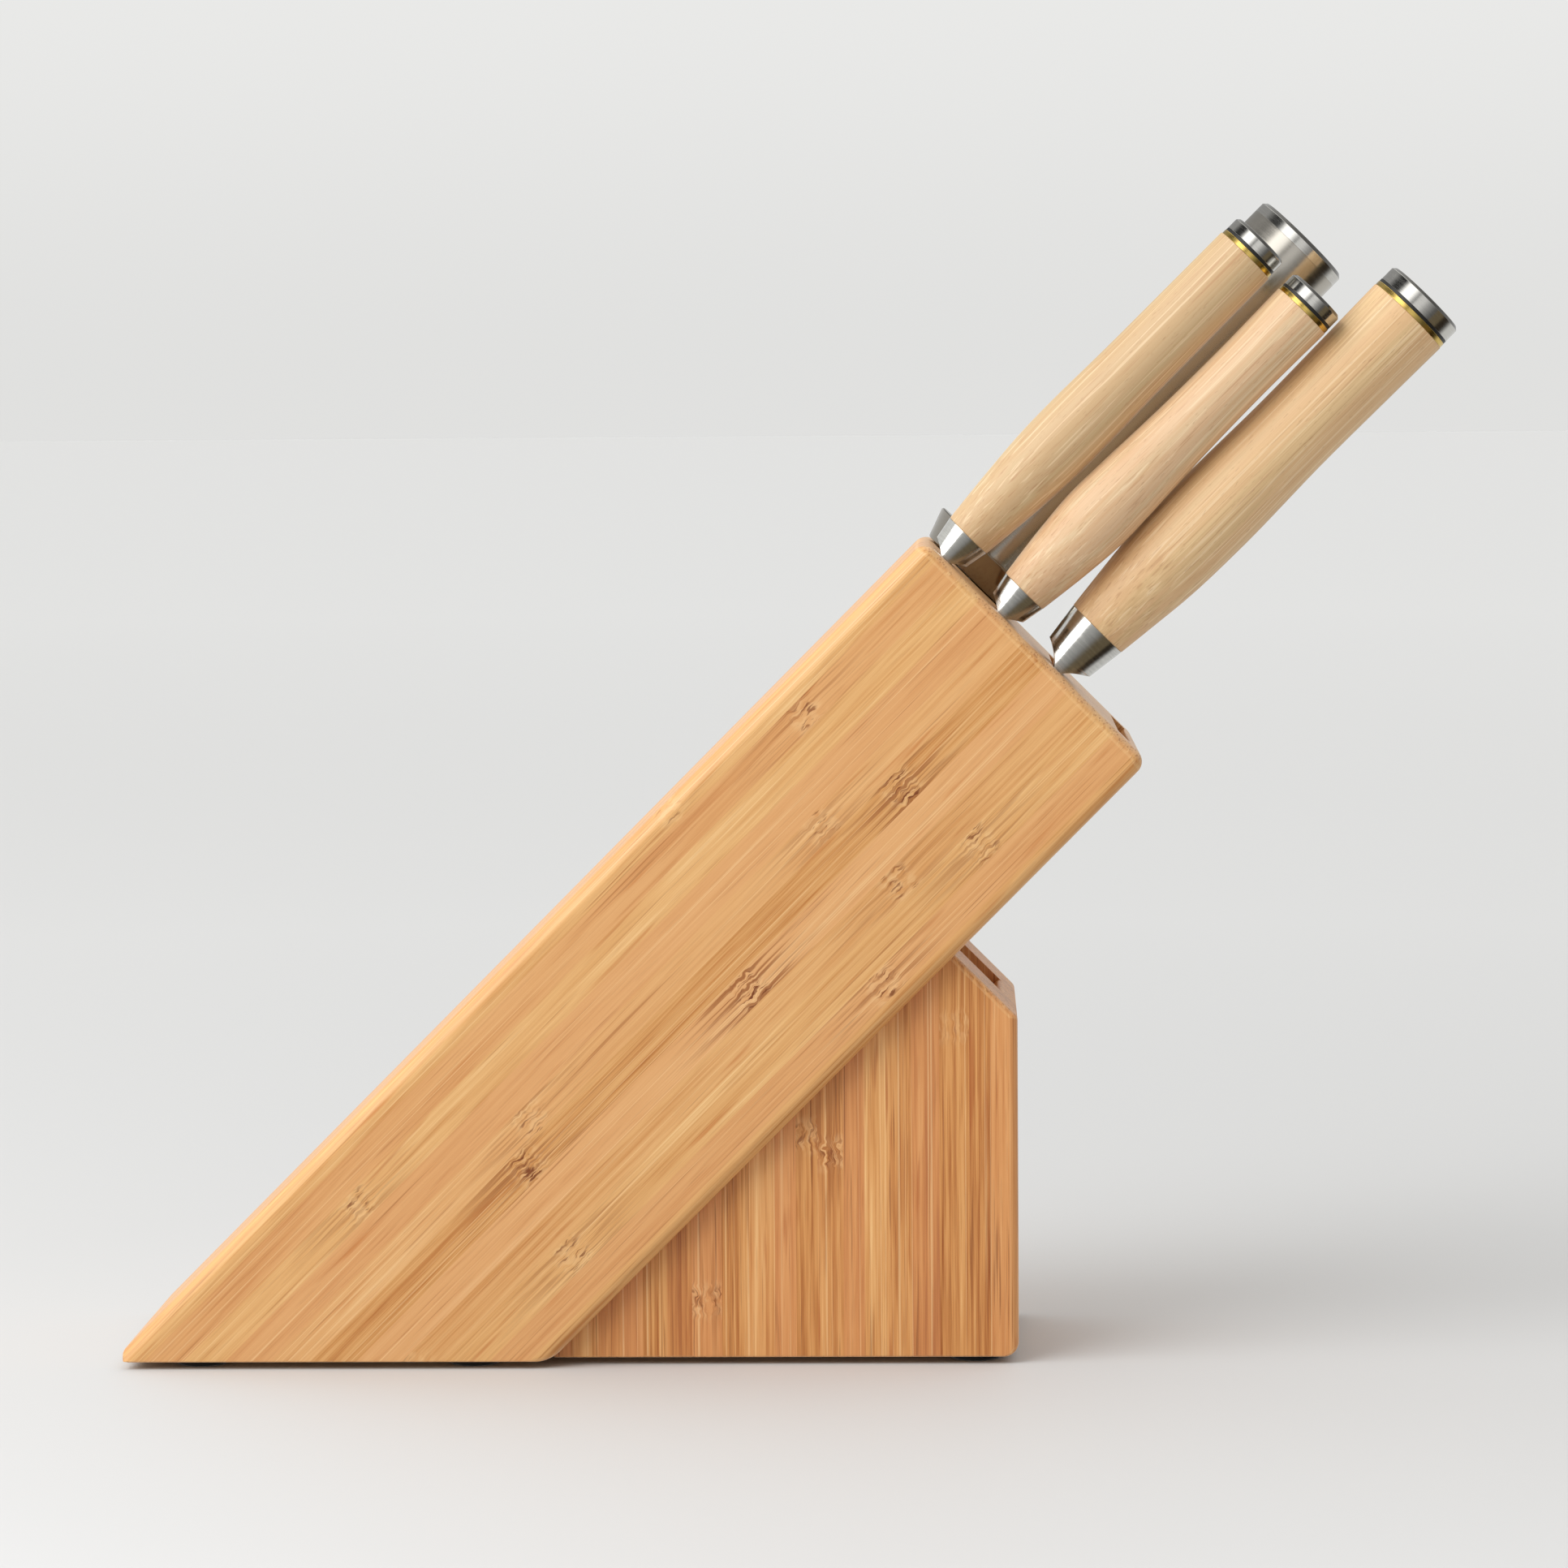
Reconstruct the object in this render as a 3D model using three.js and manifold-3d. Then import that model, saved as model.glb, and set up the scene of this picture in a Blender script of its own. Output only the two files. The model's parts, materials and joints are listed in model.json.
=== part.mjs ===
// A leaning bamboo knife block on a smaller prop block, with three knives and a honing steel.
//
// World frame: X to the right, Y into the depth, Z up, millimetres. The object stands on Z = 0 with
// the centre of its bounding box over the origin. Boards, knives and steel are laid out in a leaning
// frame: "across" runs through the rows of slots from the upper side to the underside, "along" runs up
// the slots. The two meet at the block's sharp lower corner.
import * as THREE from "three";
import { mergeVertices } from "three/addons/utils/BufferGeometryUtils.js";
import Module from "manifold-3d";

const wasm = await Module();
wasm.setup();

// ---- Driving dimensions ----------------------------------------------------------------------------

const LEAN = Math.PI / 4; // angle between the slots and the vertical
const GLUE = 0.3; // gap left at each glued or pressed joint between turned pieces
const FOOT = { height: 2, radius: 7, chamfer: 0.5, inset: 12 };

const BLOCK = {
  thickness: 86.4, // across the rows of slots
  depth: 100,
  top: 320.6, // along the slots, from the sharp lower corner to the top face
  panel: 14, // front and rear panels
  edgeRadius: 3, // rounding of the panels' outer edges
  cornerRadius: 4, // the two corners of the top face
  heelRadius: 10, // the blunt lower corner, under the prop block
  toeRadius: 2, // the sharp lower corner
};

const PROP = {
  depth: 86,
  right: 251.8, // upright right side, from the block's sharp lower corner
  drop: 75.6, // its sloped face lies this far below the block's top face, along the slots
  edgeRadius: 1.5,
  cornerRadius: 4,
};
const POCKET = { width: 18, depth: 30, length: 115 }; // for kitchen shears, under the block

const SLOT = { width: 3.4, spareWidth: 5, shortDepth: 36 };
const SPARE_ROW = 78.2; // across, to the middle of the empty slot

const TANG = { width: 6, bore: 3.6, spare: 20 };
const BLADE = { spine: 2, edge: 0.5 };
const SCOOP = { lift: 0.4, neck: 1.9 }; // the bolster ends this far over the top face, this thin
const TAIL = { brass: 1.1, black: 0.6, chamfer: 0.8 };

// across, depth: the handle's axis. junction: where bolster meets wood, over the top face.
// waist: where the bolster's round part meets its scoop. belly: radii of the wood, end to end.
const KNIVES = [
  {
    name: "paring",
    across: 8.2,
    depth: 24,
    junction: 9,
    waist: { height: 2.6, radius: 5.9 },
    woodEnd: 117.4,
    cap: { radius: 8.8, length: 3.75 },
    belly: [[0, 7.1], [0.15, 8.7], [0.3, 9.8], [0.4, 9.87], [0.57, 9.47], [0.8, 9.3], [1, 9.2]],
    blade: { length: 90, spine: 8, edge: 12, drop: 2 },
  },
  {
    name: "utility",
    across: 30,
    depth: 22,
    junction: 9,
    waist: { height: 2.6, radius: 5.9 },
    woodEnd: 117.4,
    cap: { radius: 8.75, length: 3.75 },
    belly: [[0, 7.2], [0.15, 9.18], [0.27, 10.15], [0.36, 9.9], [0.57, 8.98], [0.78, 8.64], [1, 8.95]],
    blade: { length: 125, spine: 6.5, edge: 18.5, drop: 3 },
  },
  {
    name: "chef",
    across: 52.1,
    depth: 29,
    junction: 15.8,
    waist: { height: 4.8, radius: 7.9 },
    woodEnd: 137.4,
    cap: { radius: 12.46, length: 4.75 },
    belly: [[0, 9.4], [0.08, 10.48], [0.21, 12.05], [0.35, 12.6], [0.64, 12.12], [0.85, 12.4], [1, 12.65]],
    blade: { length: 200, spine: 10.5, edge: 35.5, drop: 8 },
  },
];

const STEEL = {
  across: 17.6,
  depth: 70,
  channel: 11, // side of the square channel between the strips of the first partition
  rod: { radius: 5, length: 205, tip: 2 },
  guard: { bottom: 16.4, top: 19.5, height: 8.6, boreRadius: 5.3 },
  handle: { radius: 15.3, wall: 1.2, end: 131 },
  cap: { length: 3.6, chamfer: 1 },
  tang: 30, // the rod's reach above the top face
};

const ROUND_STEPS = 32; // sides of a turned piece
const ARC_STEPS = 5; // straight pieces in one rounded corner
const WIDE_ROUND_STEPS = 48;
const FOOT_STEPS = 24;
const CURVE_STEPS = 10;
const OVERSHOOT = 20; // how far a cutting solid runs past what it cuts

const MATERIAL = {
  bamboo: { color: 0xd9a768, roughness: 0.45, metalness: 0 },
  darkBamboo: { color: 0xb5763f, roughness: 0.5, metalness: 0 },
  handleWood: { color: 0xdcb98a, roughness: 0.55, metalness: 0 },
  steel: { color: 0xb9bbbd, roughness: 0.28, metalness: 1 },
  bladeSteel: { color: 0xc6c8ca, roughness: 0.2, metalness: 1 },
  brass: { color: 0xb5974a, roughness: 0.3, metalness: 1 },
  blackSpacer: { color: 0x1a1a1c, roughness: 0.5, metalness: 0 },
  rubber: { color: 0x222222, roughness: 0.9, metalness: 0 },
};

// ---- Solids ----------------------------------------------------------------------------------------

function toSolid(geometry) {
  const bare = geometry.clone();
  bare.deleteAttribute("normal");
  bare.deleteAttribute("uv");
  const merged = mergeVertices(bare, 1e-4);
  const mesh = new wasm.Mesh({
    numProp: 3,
    vertProperties: new Float32Array(merged.attributes.position.array),
    triVerts: new Uint32Array(merged.index.array),
  });
  return new wasm.Manifold(mesh);
}

function toGeometry(solid) {
  const { vertProperties, triVerts } = solid.getMesh();
  const geometry = new THREE.BufferGeometry();
  geometry.setAttribute("position", new THREE.BufferAttribute(new Float32Array(vertProperties), 3));
  geometry.setIndex(new THREE.BufferAttribute(new Uint32Array(triVerts), 1));
  return geometry;
}

const common = (a, b) => toGeometry(toSolid(a).intersect(toSolid(b)));
const cut = (a, b) => toGeometry(toSolid(a).subtract(toSolid(b)));

function piece(name, geometry, material) {
  const flat = geometry.index ? geometry.toNonIndexed() : geometry;
  flat.computeVertexNormals();
  const mesh = new THREE.Mesh(flat, new THREE.MeshStandardMaterial(material));
  mesh.name = name;
  return mesh;
}

// The world X and Z of a point in the leaning frame.
function leaning(across, along) {
  return new THREE.Vector2(
    along * Math.sin(LEAN) + across * Math.cos(LEAN),
    FOOT.height + along * Math.cos(LEAN) - across * Math.sin(LEAN),
  );
}

// Rounds the corners of a closed outline. Each corner is { at: Vector2, radius }.
function roundedOutline(corners) {
  const count = corners.length;
  return corners.flatMap(({ at, radius }, i) => {
    if (!radius) return [at];
    const back = corners[(i + count - 1) % count].at.clone().sub(at).normalize();
    const ahead = corners[(i + 1) % count].at.clone().sub(at).normalize();
    const half = Math.acos(back.dot(ahead)) / 2;
    const inward = back.clone().add(ahead).normalize();
    const centre = at.clone().addScaledVector(inward, radius / Math.sin(half));
    const start = at.clone().addScaledVector(back, radius / Math.tan(half)).sub(centre);
    const turn = Math.sign(back.cross(ahead)) * (Math.PI - 2 * half);
    const pivot = new THREE.Vector2();
    const onArc = (k) => start.clone().rotateAround(pivot, (-turn * k) / ARC_STEPS).add(centre);
    return Array.from({ length: ARC_STEPS + 1 }, (_, k) => onArc(k));
  });
}

// A plate whose outline lies in the XZ plane, from depth near to depth far.
function plate(outline, near, far) {
  const shape = new THREE.Shape(outline);
  const geometry = new THREE.ExtrudeGeometry(shape, { depth: far - near, bevelEnabled: false });
  return geometry.rotateX(Math.PI / 2).translate(0, far, 0);
}

// The same plate with its edges rounded at both depths.
function roundedPlate(outline, near, far, radius) {
  const shape = new THREE.Shape(outline);
  const geometry = new THREE.ExtrudeGeometry(shape, {
    depth: far - near - 2 * radius,
    bevelThickness: radius,
    bevelSize: radius,
    bevelOffset: -radius,
    bevelSegments: 3,
  });
  return geometry.rotateX(Math.PI / 2).translate(0, far - radius, 0);
}

// A box in the leaning frame, between two across values, two depths and two along values.
function leaningBox([left, right], [near, far], [low, high]) {
  const at = leaning((left + right) / 2, (low + high) / 2);
  const box = new THREE.BoxGeometry(right - left, far - near, high - low);
  return box.rotateY(LEAN).translate(at.x, (near + far) / 2, at.y);
}

// A solid turned about the Z axis. The profile holds [radius, height] pairs.
function turned(profile, steps = ROUND_STEPS) {
  const points = profile.map(([radius, height]) => new THREE.Vector2(radius, height));
  return new THREE.LatheGeometry(points, steps).rotateX(Math.PI / 2);
}

// ---- Main block ------------------------------------------------------------------------------------

const blockOutline = roundedOutline([
  { at: leaning(0, 0), radius: BLOCK.toeRadius },
  { at: leaning(BLOCK.thickness, BLOCK.thickness * Math.tan(LEAN)), radius: BLOCK.heelRadius },
  { at: leaning(BLOCK.thickness, BLOCK.top), radius: BLOCK.cornerRadius },
  { at: leaning(0, BLOCK.top), radius: BLOCK.cornerRadius },
]);

// The outline without its flat bottom, so that a rounded edge stays off the bottom.
const openOutline = roundedOutline([
  { at: leaning(0, -OVERSHOOT) },
  { at: leaning(BLOCK.thickness, -OVERSHOOT) },
  { at: leaning(BLOCK.thickness, BLOCK.top), radius: BLOCK.cornerRadius },
  { at: leaning(0, BLOCK.top), radius: BLOCK.cornerRadius },
]);

function blockPanel(near, far) {
  const slab = plate(blockOutline, near, far);
  const softEdged = roundedPlate(openOutline, 0, BLOCK.depth, BLOCK.edgeRadius);
  return common(slab, softEdged);
}

function blockBoard(across, near, far) {
  const core = plate(blockOutline, near, far);
  const strip = leaningBox(across, [near, far], [-OVERSHOOT, BLOCK.top + OVERSHOOT]);
  return common(core, strip);
}

function mainBlock() {
  const group = new THREE.Group();
  const add = (name, geometry) => group.add(piece(name, geometry, MATERIAL.bamboo));
  const near = BLOCK.panel;
  const far = BLOCK.depth - BLOCK.panel;
  add("block_front_panel", blockPanel(0, near));
  add("block_rear_panel", blockPanel(far, BLOCK.depth));

  const slots = KNIVES.map(({ across }) => [across - SLOT.width / 2, across + SLOT.width / 2]);
  slots.push([SPARE_ROW - SLOT.spareWidth / 2, SPARE_ROW + SLOT.spareWidth / 2]);
  const starts = [-OVERSHOOT, ...slots.map(([, end]) => end)];
  const ends = [...slots.map(([start]) => start), BLOCK.thickness + OVERSHOOT];
  const board = (row, from, to) => blockBoard([starts[row], ends[row]], from, to);
  add("block_upper_wall", board(0, near, far));
  add("block_partition_2", board(2, near, far));
  add("block_partition_3", board(3, near, far));
  add("block_lower_wall", board(4, near, far));

  // The first partition is made of four strips that leave a square channel for the steel.
  const half = STEEL.channel / 2;
  const [channelNear, channelFar] = [STEEL.depth - half, STEEL.depth + half];
  add("block_partition_1_front", board(1, near, channelNear));
  add("block_partition_1_rear", board(1, channelFar, far));
  add("steel_channel_upper", blockBoard([starts[1], STEEL.across - half], channelNear, channelFar));
  add("steel_channel_lower", blockBoard([STEEL.across + half, ends[1]], channelNear, channelFar));

  // The two small knives' slots are short: a strip fills the rest of the row.
  slots.slice(0, 2).forEach(([start, end], i) => {
    add(`slot_${i + 1}_filler`, blockBoard([start + GLUE, end - GLUE], near + SLOT.shortDepth, far));
  });
  return group;
}

// ---- Prop block ------------------------------------------------------------------------------------

const propNear = (BLOCK.depth - PROP.depth) / 2;
const propFar = propNear + PROP.depth;
const propTop = BLOCK.top - PROP.drop;
const propLeft = BLOCK.thickness + GLUE;
// The along value at which the sloped face meets the upright side, and that corner's height.
const propCorner = new THREE.Vector2(
  PROP.right,
  FOOT.height + (propTop - PROP.right * Math.sin(LEAN)) / Math.cos(LEAN),
);

const propOutline = roundedOutline([
  { at: leaning(propLeft, propLeft * Math.tan(LEAN)) },
  { at: new THREE.Vector2(PROP.right, FOOT.height), radius: PROP.cornerRadius },
  { at: propCorner, radius: PROP.cornerRadius / 2 },
  { at: leaning(propLeft, propTop) },
]);

function propBoard(near, far) {
  const softEdged = roundedPlate(propOutline, propNear, propFar, PROP.edgeRadius);
  const slab = leaningBox([-OVERSHOOT, PROP.right], [near, far], [-PROP.right, propTop + OVERSHOOT]);
  return common(softEdged, slab);
}

function propBlock() {
  const group = new THREE.Group();
  const add = (name, geometry) => group.add(piece(name, geometry, MATERIAL.darkBamboo));
  const pocketNear = (BLOCK.depth - POCKET.depth) / 2;
  const pocketFar = pocketNear + POCKET.depth;
  const acrossPocket = [BLOCK.thickness - OVERSHOOT, BLOCK.thickness + POCKET.width];
  const pocketDepths = [pocketNear - OVERSHOOT, pocketFar + OVERSHOOT];
  const pocket = leaningBox(acrossPocket, pocketDepths, [propTop - POCKET.length, propTop + OVERSHOOT]);
  add("prop_front_board", propBoard(propNear, pocketNear));
  add("prop_middle_board", cut(propBoard(pocketNear, pocketFar), pocket));
  add("prop_rear_board", propBoard(pocketFar, propFar));
  return group;
}

// ---- Feet ------------------------------------------------------------------------------------------

function feet() {
  const group = new THREE.Group();
  const { height, radius, chamfer, inset } = FOOT;
  const heel = 2 * BLOCK.thickness * Math.sin(LEAN) - BLOCK.heelRadius;
  const blockRows = [inset, BLOCK.depth - inset];
  const propRows = [propNear + inset, propFar - inset];
  const columns = [
    { name: "toe", x: 2 * inset, rows: blockRows },
    { name: "heel", x: heel - inset, rows: blockRows },
    { name: "prop", x: PROP.right - inset, rows: propRows },
  ];
  const profile = [[0, 0], [radius - chamfer, 0], [radius, chamfer], [radius, height], [0, height]];
  for (const { name, x, rows } of columns) {
    rows.forEach((y, i) => {
      const pad = turned(profile, FOOT_STEPS).translate(x, y, 0);
      group.add(piece(`foot_${name}_${i ? "rear" : "front"}`, pad, MATERIAL.rubber));
    });
  }
  return group;
}

// ---- Knives ----------------------------------------------------------------------------------------
// A knife's own Z axis is its handle's axis, with Z = 0 on the block's top face.

// The wooden handle's outline, from bolster to tail, as [radius, height] pairs.
function woodProfile({ belly, junction, woodEnd }) {
  const length = woodEnd - junction - GLUE;
  const bottom = junction + GLUE;
  const stations = belly.map(([share, radius]) => new THREE.Vector2(radius, bottom + share * length));
  return new THREE.SplineCurve(stations).getPoints(2 * CURVE_STEPS).map(({ x, y }) => [x, y]);
}

function woodHandle(knife) {
  const tangEnd = knife.woodEnd - TANG.spare + GLUE;
  const bottom = knife.junction + GLUE;
  const bore = [[0, tangEnd], [TANG.bore, tangEnd], [TANG.bore, bottom]];
  return turned([...bore, ...woodProfile(knife), [0, knife.woodEnd]]);
}

// Round where it meets the wood, scooped on both sides down to a thin neck over the slot.
function bolster({ junction, waist, belly }) {
  const [[, top]] = belly;
  const { lift, neck } = SCOOP;
  const bore = TANG.bore;
  const round = turned([
    [bore, lift],
    [waist.radius - 0.3, lift],
    [waist.radius, waist.height],
    [top, junction],
    [bore, junction],
    [bore, lift],
  ]);
  const side = new THREE.Shape();
  side.moveTo(-neck, lift - 1);
  side.lineTo(neck, lift - 1);
  side.lineTo(neck, lift);
  side.quadraticCurveTo(neck + 0.4 * (waist.radius - neck), waist.height / 2, waist.radius, waist.height);
  side.lineTo(2 * top, waist.height);
  side.lineTo(2 * top, junction + 1);
  side.lineTo(-2 * top, junction + 1);
  side.lineTo(-2 * top, waist.height);
  side.lineTo(-waist.radius, waist.height);
  side.quadraticCurveTo(-neck - 0.4 * (waist.radius - neck), waist.height / 2, -neck, lift);
  const width = 4 * top;
  const scoop = new THREE.ExtrudeGeometry(side, { depth: width, bevelEnabled: false, curveSegments: 5 });
  return common(round, scoop.rotateX(Math.PI / 2).translate(0, width / 2, 0));
}

// Blade and tang in one: a flat outline in depth and height, thinned from the spine to the edge.
function bladeAndTang({ waist, woodEnd, blade }) {
  const half = TANG.width / 2;
  const shoulder = SCOOP.lift - GLUE;
  const neck = waist.radius - 0.3;
  const heel = -blade.drop;
  const tip = heel - blade.length;
  const point = blade.edge - 0.55 * (blade.spine + blade.edge);
  const side = new THREE.Shape();
  side.moveTo(-half, woodEnd - TANG.spare);
  side.lineTo(-half, shoulder);
  side.lineTo(-neck, shoulder);
  side.lineTo(-blade.spine, heel);
  side.lineTo(-blade.spine, heel - 0.5 * blade.length);
  side.quadraticCurveTo(-blade.spine, heel - 0.85 * blade.length, point, tip);
  side.quadraticCurveTo(blade.edge, heel - 0.75 * blade.length, blade.edge, heel - 0.3 * blade.length);
  side.lineTo(blade.edge, heel);
  side.lineTo(neck, shoulder - 1);
  side.lineTo(neck, shoulder);
  side.lineTo(half, shoulder);
  side.lineTo(half, woodEnd - TANG.spare);
  const flat = new THREE.ExtrudeGeometry(side, {
    depth: BLADE.spine,
    bevelEnabled: false,
    curveSegments: CURVE_STEPS,
  });
  // The outline's X and Y become depth and height, its thickness runs across.
  const upright = new THREE.Matrix4().makeBasis(
    new THREE.Vector3(0, 1, 0),
    new THREE.Vector3(0, 0, 1),
    new THREE.Vector3(1, 0, 0),
  );
  flat.translate(0, 0, -BLADE.spine / 2).applyMatrix4(upright);
  const position = flat.attributes.position;
  const height = blade.spine + blade.edge;
  for (let i = 0; i < position.count; i += 1) {
    if (position.getZ(i) > heel + 0.1) continue;
    const share = (position.getY(i) + blade.spine) / height;
    position.setX(i, position.getX(i) * (1 - share * (1 - BLADE.edge / BLADE.spine)));
  }
  return flat;
}

function ring(radius, low, high) {
  return turned([[0, low], [radius, low], [radius, high], [0, high]]);
}

function endCap(radius, low, high, chamfer) {
  return turned([[0, low], [radius, low], [radius, high - chamfer], [radius - chamfer, high], [0, high]]);
}

function knifeGroup(knife) {
  const group = new THREE.Group();
  const add = (part, geometry, material) => group.add(piece(`${knife.name}_${part}`, geometry, material));
  add("blade", bladeAndTang(knife), MATERIAL.bladeSteel);
  add("bolster", bolster(knife), MATERIAL.steel);
  add("handle", woodHandle(knife), MATERIAL.handleWood);
  const radius = knife.cap.radius;
  const brassLow = knife.woodEnd + GLUE;
  const blackLow = brassLow + TAIL.brass + GLUE;
  const capLow = blackLow + TAIL.black + GLUE;
  add("brass_ring", ring(radius + 0.1, brassLow, brassLow + TAIL.brass), MATERIAL.brass);
  add("black_ring", ring(radius, blackLow, blackLow + TAIL.black), MATERIAL.blackSpacer);
  add("end_cap", endCap(radius, capLow, capLow + knife.cap.length, TAIL.chamfer), MATERIAL.steel);
  group.position.set(knife.across, knife.depth, BLOCK.top);
  return group;
}

// ---- Honing steel ----------------------------------------------------------------------------------

function honingSteel() {
  const group = new THREE.Group();
  const { rod, guard, handle, cap } = STEEL;
  const guardTop = GLUE + guard.height;
  const inner = handle.radius - handle.wall;
  const rodProfile = [
    [0, -rod.length],
    [rod.radius - rod.tip, -rod.length],
    [rod.radius, -rod.length + rod.tip],
    [rod.radius, STEEL.tang],
    [0, STEEL.tang],
  ];
  const collar = [
    [guard.boreRadius, GLUE],
    [guard.bottom, GLUE],
    [guard.top, guardTop],
    [guard.boreRadius, guardTop],
    [guard.boreRadius, GLUE],
  ];
  const tube = [
    [inner, guardTop + GLUE],
    [handle.radius, guardTop + GLUE],
    [handle.radius, handle.end],
    [inner, handle.end],
    [inner, guardTop + GLUE],
  ];
  const capLow = handle.end + GLUE;
  group.add(piece("steel_rod", turned(rodProfile), MATERIAL.bladeSteel));
  group.add(piece("steel_guard", turned(collar, WIDE_ROUND_STEPS), MATERIAL.steel));
  group.add(piece("steel_handle_tube", turned(tube, WIDE_ROUND_STEPS), MATERIAL.steel));
  const lid = endCap(handle.radius, capLow, capLow + cap.length, cap.chamfer);
  group.add(piece("steel_end_cap", lid, MATERIAL.steel));
  group.position.set(STEEL.across, STEEL.depth, BLOCK.top);
  return group;
}

// ---- Assembly --------------------------------------------------------------------------------------

const leaningGroup = new THREE.Group();
leaningGroup.rotation.y = LEAN;
leaningGroup.position.z = FOOT.height;
leaningGroup.add(...KNIVES.map(knifeGroup), honingSteel());

const knifeBlock = new THREE.Group();
knifeBlock.add(mainBlock(), propBlock(), feet(), leaningGroup);

const box = new THREE.Box3().setFromObject(knifeBlock, true);
const centre = box.getCenter(new THREE.Vector3());
knifeBlock.position.set(-centre.x, -centre.y, -box.min.z);

export default knifeBlock;
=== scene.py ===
"""Looks of a leaning bamboo knife block with three knives and a honing steel.

Everything is laid out in the block's own leaning frame, in millimetres: "across" runs through the rows
of slots, "depth" runs away from the viewer and "along" runs up the slots. Zero is the block's sharp
lower corner on its near side. The frame's place and the sizes of its boards come from the CAD nodes.
"""

import json
import math

import bmesh
import bpy
import numpy as np
from mathutils import Matrix, Vector


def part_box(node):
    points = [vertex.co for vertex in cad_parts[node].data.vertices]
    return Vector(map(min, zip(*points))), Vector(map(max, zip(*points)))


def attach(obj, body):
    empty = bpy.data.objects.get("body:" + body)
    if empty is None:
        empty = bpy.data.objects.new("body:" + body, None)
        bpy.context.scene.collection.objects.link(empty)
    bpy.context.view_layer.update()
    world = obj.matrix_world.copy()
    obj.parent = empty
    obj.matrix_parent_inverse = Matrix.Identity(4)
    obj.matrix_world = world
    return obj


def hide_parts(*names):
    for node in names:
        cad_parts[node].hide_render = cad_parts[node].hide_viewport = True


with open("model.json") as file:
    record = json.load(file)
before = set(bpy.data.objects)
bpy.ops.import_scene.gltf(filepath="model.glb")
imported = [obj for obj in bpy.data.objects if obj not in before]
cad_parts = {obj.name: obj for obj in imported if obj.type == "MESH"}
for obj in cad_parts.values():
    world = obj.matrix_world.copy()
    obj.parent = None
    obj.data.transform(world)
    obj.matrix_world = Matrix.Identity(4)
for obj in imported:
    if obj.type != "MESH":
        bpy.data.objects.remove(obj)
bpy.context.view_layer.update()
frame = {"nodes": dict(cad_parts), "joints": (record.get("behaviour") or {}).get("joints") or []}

MM = 0.001

# ---- The leaning frame ----

ALONG = Vector(frame["joints"][0]["axis"]).normalized()
ACROSS = Vector((ALONG.z, 0, -ALONG.x))
DEPTH = Vector((0, 1, 0))


def raw_extent(node, direction):
    """How far a CAD node reaches in a direction, lowest and highest, in metres."""
    reach = [vertex.co.dot(direction) for vertex in frame["nodes"][node].data.vertices]
    return min(reach), max(reach)


PANEL_LOW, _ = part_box("block_front_panel")
ACROSS_ZERO = raw_extent("block_front_panel", ACROSS)[0]
ALONG_ZERO = (PANEL_LOW.z - ACROSS.z * ACROSS_ZERO) / ALONG.z
ORIGIN = ACROSS * ACROSS_ZERO + DEPTH * PANEL_LOW.y + ALONG * ALONG_ZERO
TO_WORLD = np.array([list(ACROSS), list(DEPTH), list(ALONG)])


def extent(node, axis):
    """The same reach along one axis of the leaning frame, in millimetres."""
    direction = (ACROSS, DEPTH, ALONG)["across depth along".split().index(axis)]
    zero = ORIGIN.dot(direction)
    return tuple((reach - zero) / MM for reach in raw_extent(node, direction))


def upright(x, z):
    """Across and along of a point given by its world X and height, in metres."""
    point = Vector((x, 0, z)) - ORIGIN
    return point.dot(ACROSS) / MM, point.dot(ALONG) / MM


THICKNESS = extent("block_front_panel", "across")[1]
TOP = extent("block_front_panel", "along")[1]

# ---- Shape constants, millimetres ----

TOE_RADIUS = 2.1
HEEL_RADIUS = 10
TOP_CORNER_RADIUS = 4
PANEL_FILLETS = (0.6, 3.5, 3.1, 4.0)  # bottom, underside, top, upper side
MOUTH_RADIUS = 0.5  # softened edges of the slots
MOUTH_FLUSH = 0.02  # edges with glue behind them

PROP_CORNERS = (0.3, 4, 2.5, 0.3)  # block side, lower right, upper right, block side
PROP_FILLETS = (0.6, 2.5, 2.0, 0.2)  # bottom, right, slope, block side
POCKET_ROUND = 1.2

ARC_STEPS = 8
SOFT_STEPS = 3
FILLET_STEPS = 6
ROUND_STEPS = 80
CURVE_STEPS = 24
SHARP = 0.01  # radii up to this leave a corner as it is
LEAST_RADIUS = 0.05  # of a rounded corner that a fillet has eaten into
HUB = 0.01  # the radius at which a turned skin closes on its axis
WELD = 1e-6  # metres
SMOOTH_ANGLE = math.radians(32)
CRISP_ANGLE = math.radians(10)

# name: waist is where the bolster's round part meets its scoop, over the top face. belly holds the
# wood's radii from end to end. blade is its shape below the bolster, measured from the handle's axis.
KNIVES = {
    "paring": {
        "waist": (2.6, 5.9),
        "belly": ((0, 7.1), (0.15, 8.7), (0.3, 9.8), (0.4, 9.87), (0.57, 9.47), (0.8, 9.3), (1, 9.2)),
        "blade": {"length": 90, "spine": 8, "edge": 12, "drop": 2},
    },
    "utility": {
        "waist": (2.6, 5.9),
        "belly": ((0, 7.2), (0.15, 9.18), (0.27, 10.15), (0.36, 9.9), (0.57, 8.98), (0.78, 8.64), (1, 8.95)),
        "blade": {"length": 125, "spine": 6.5, "edge": 18.5, "drop": 3},
    },
    "chef": {
        "waist": (4.8, 7.9),
        "belly": (
            (0, 9.4), (0.08, 10.48), (0.21, 12.05), (0.35, 12.6), (0.64, 12.12), (0.85, 12.4), (1, 12.65),
        ),
        "blade": {"length": 200, "spine": 10.5, "edge": 35.5, "drop": 8},
    },
}
NECK_HALF = 1.0  # half the blade's thickness where it leaves the bolster
NECK_DROP = 1.5  # the bolster reaches this far into the slot
BOLSTER_RIM = 0.12
SWEEP_STEPS, SIDE_STEPS = 33, 7  # points of a bolster's section, on each round and each flat side
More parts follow.
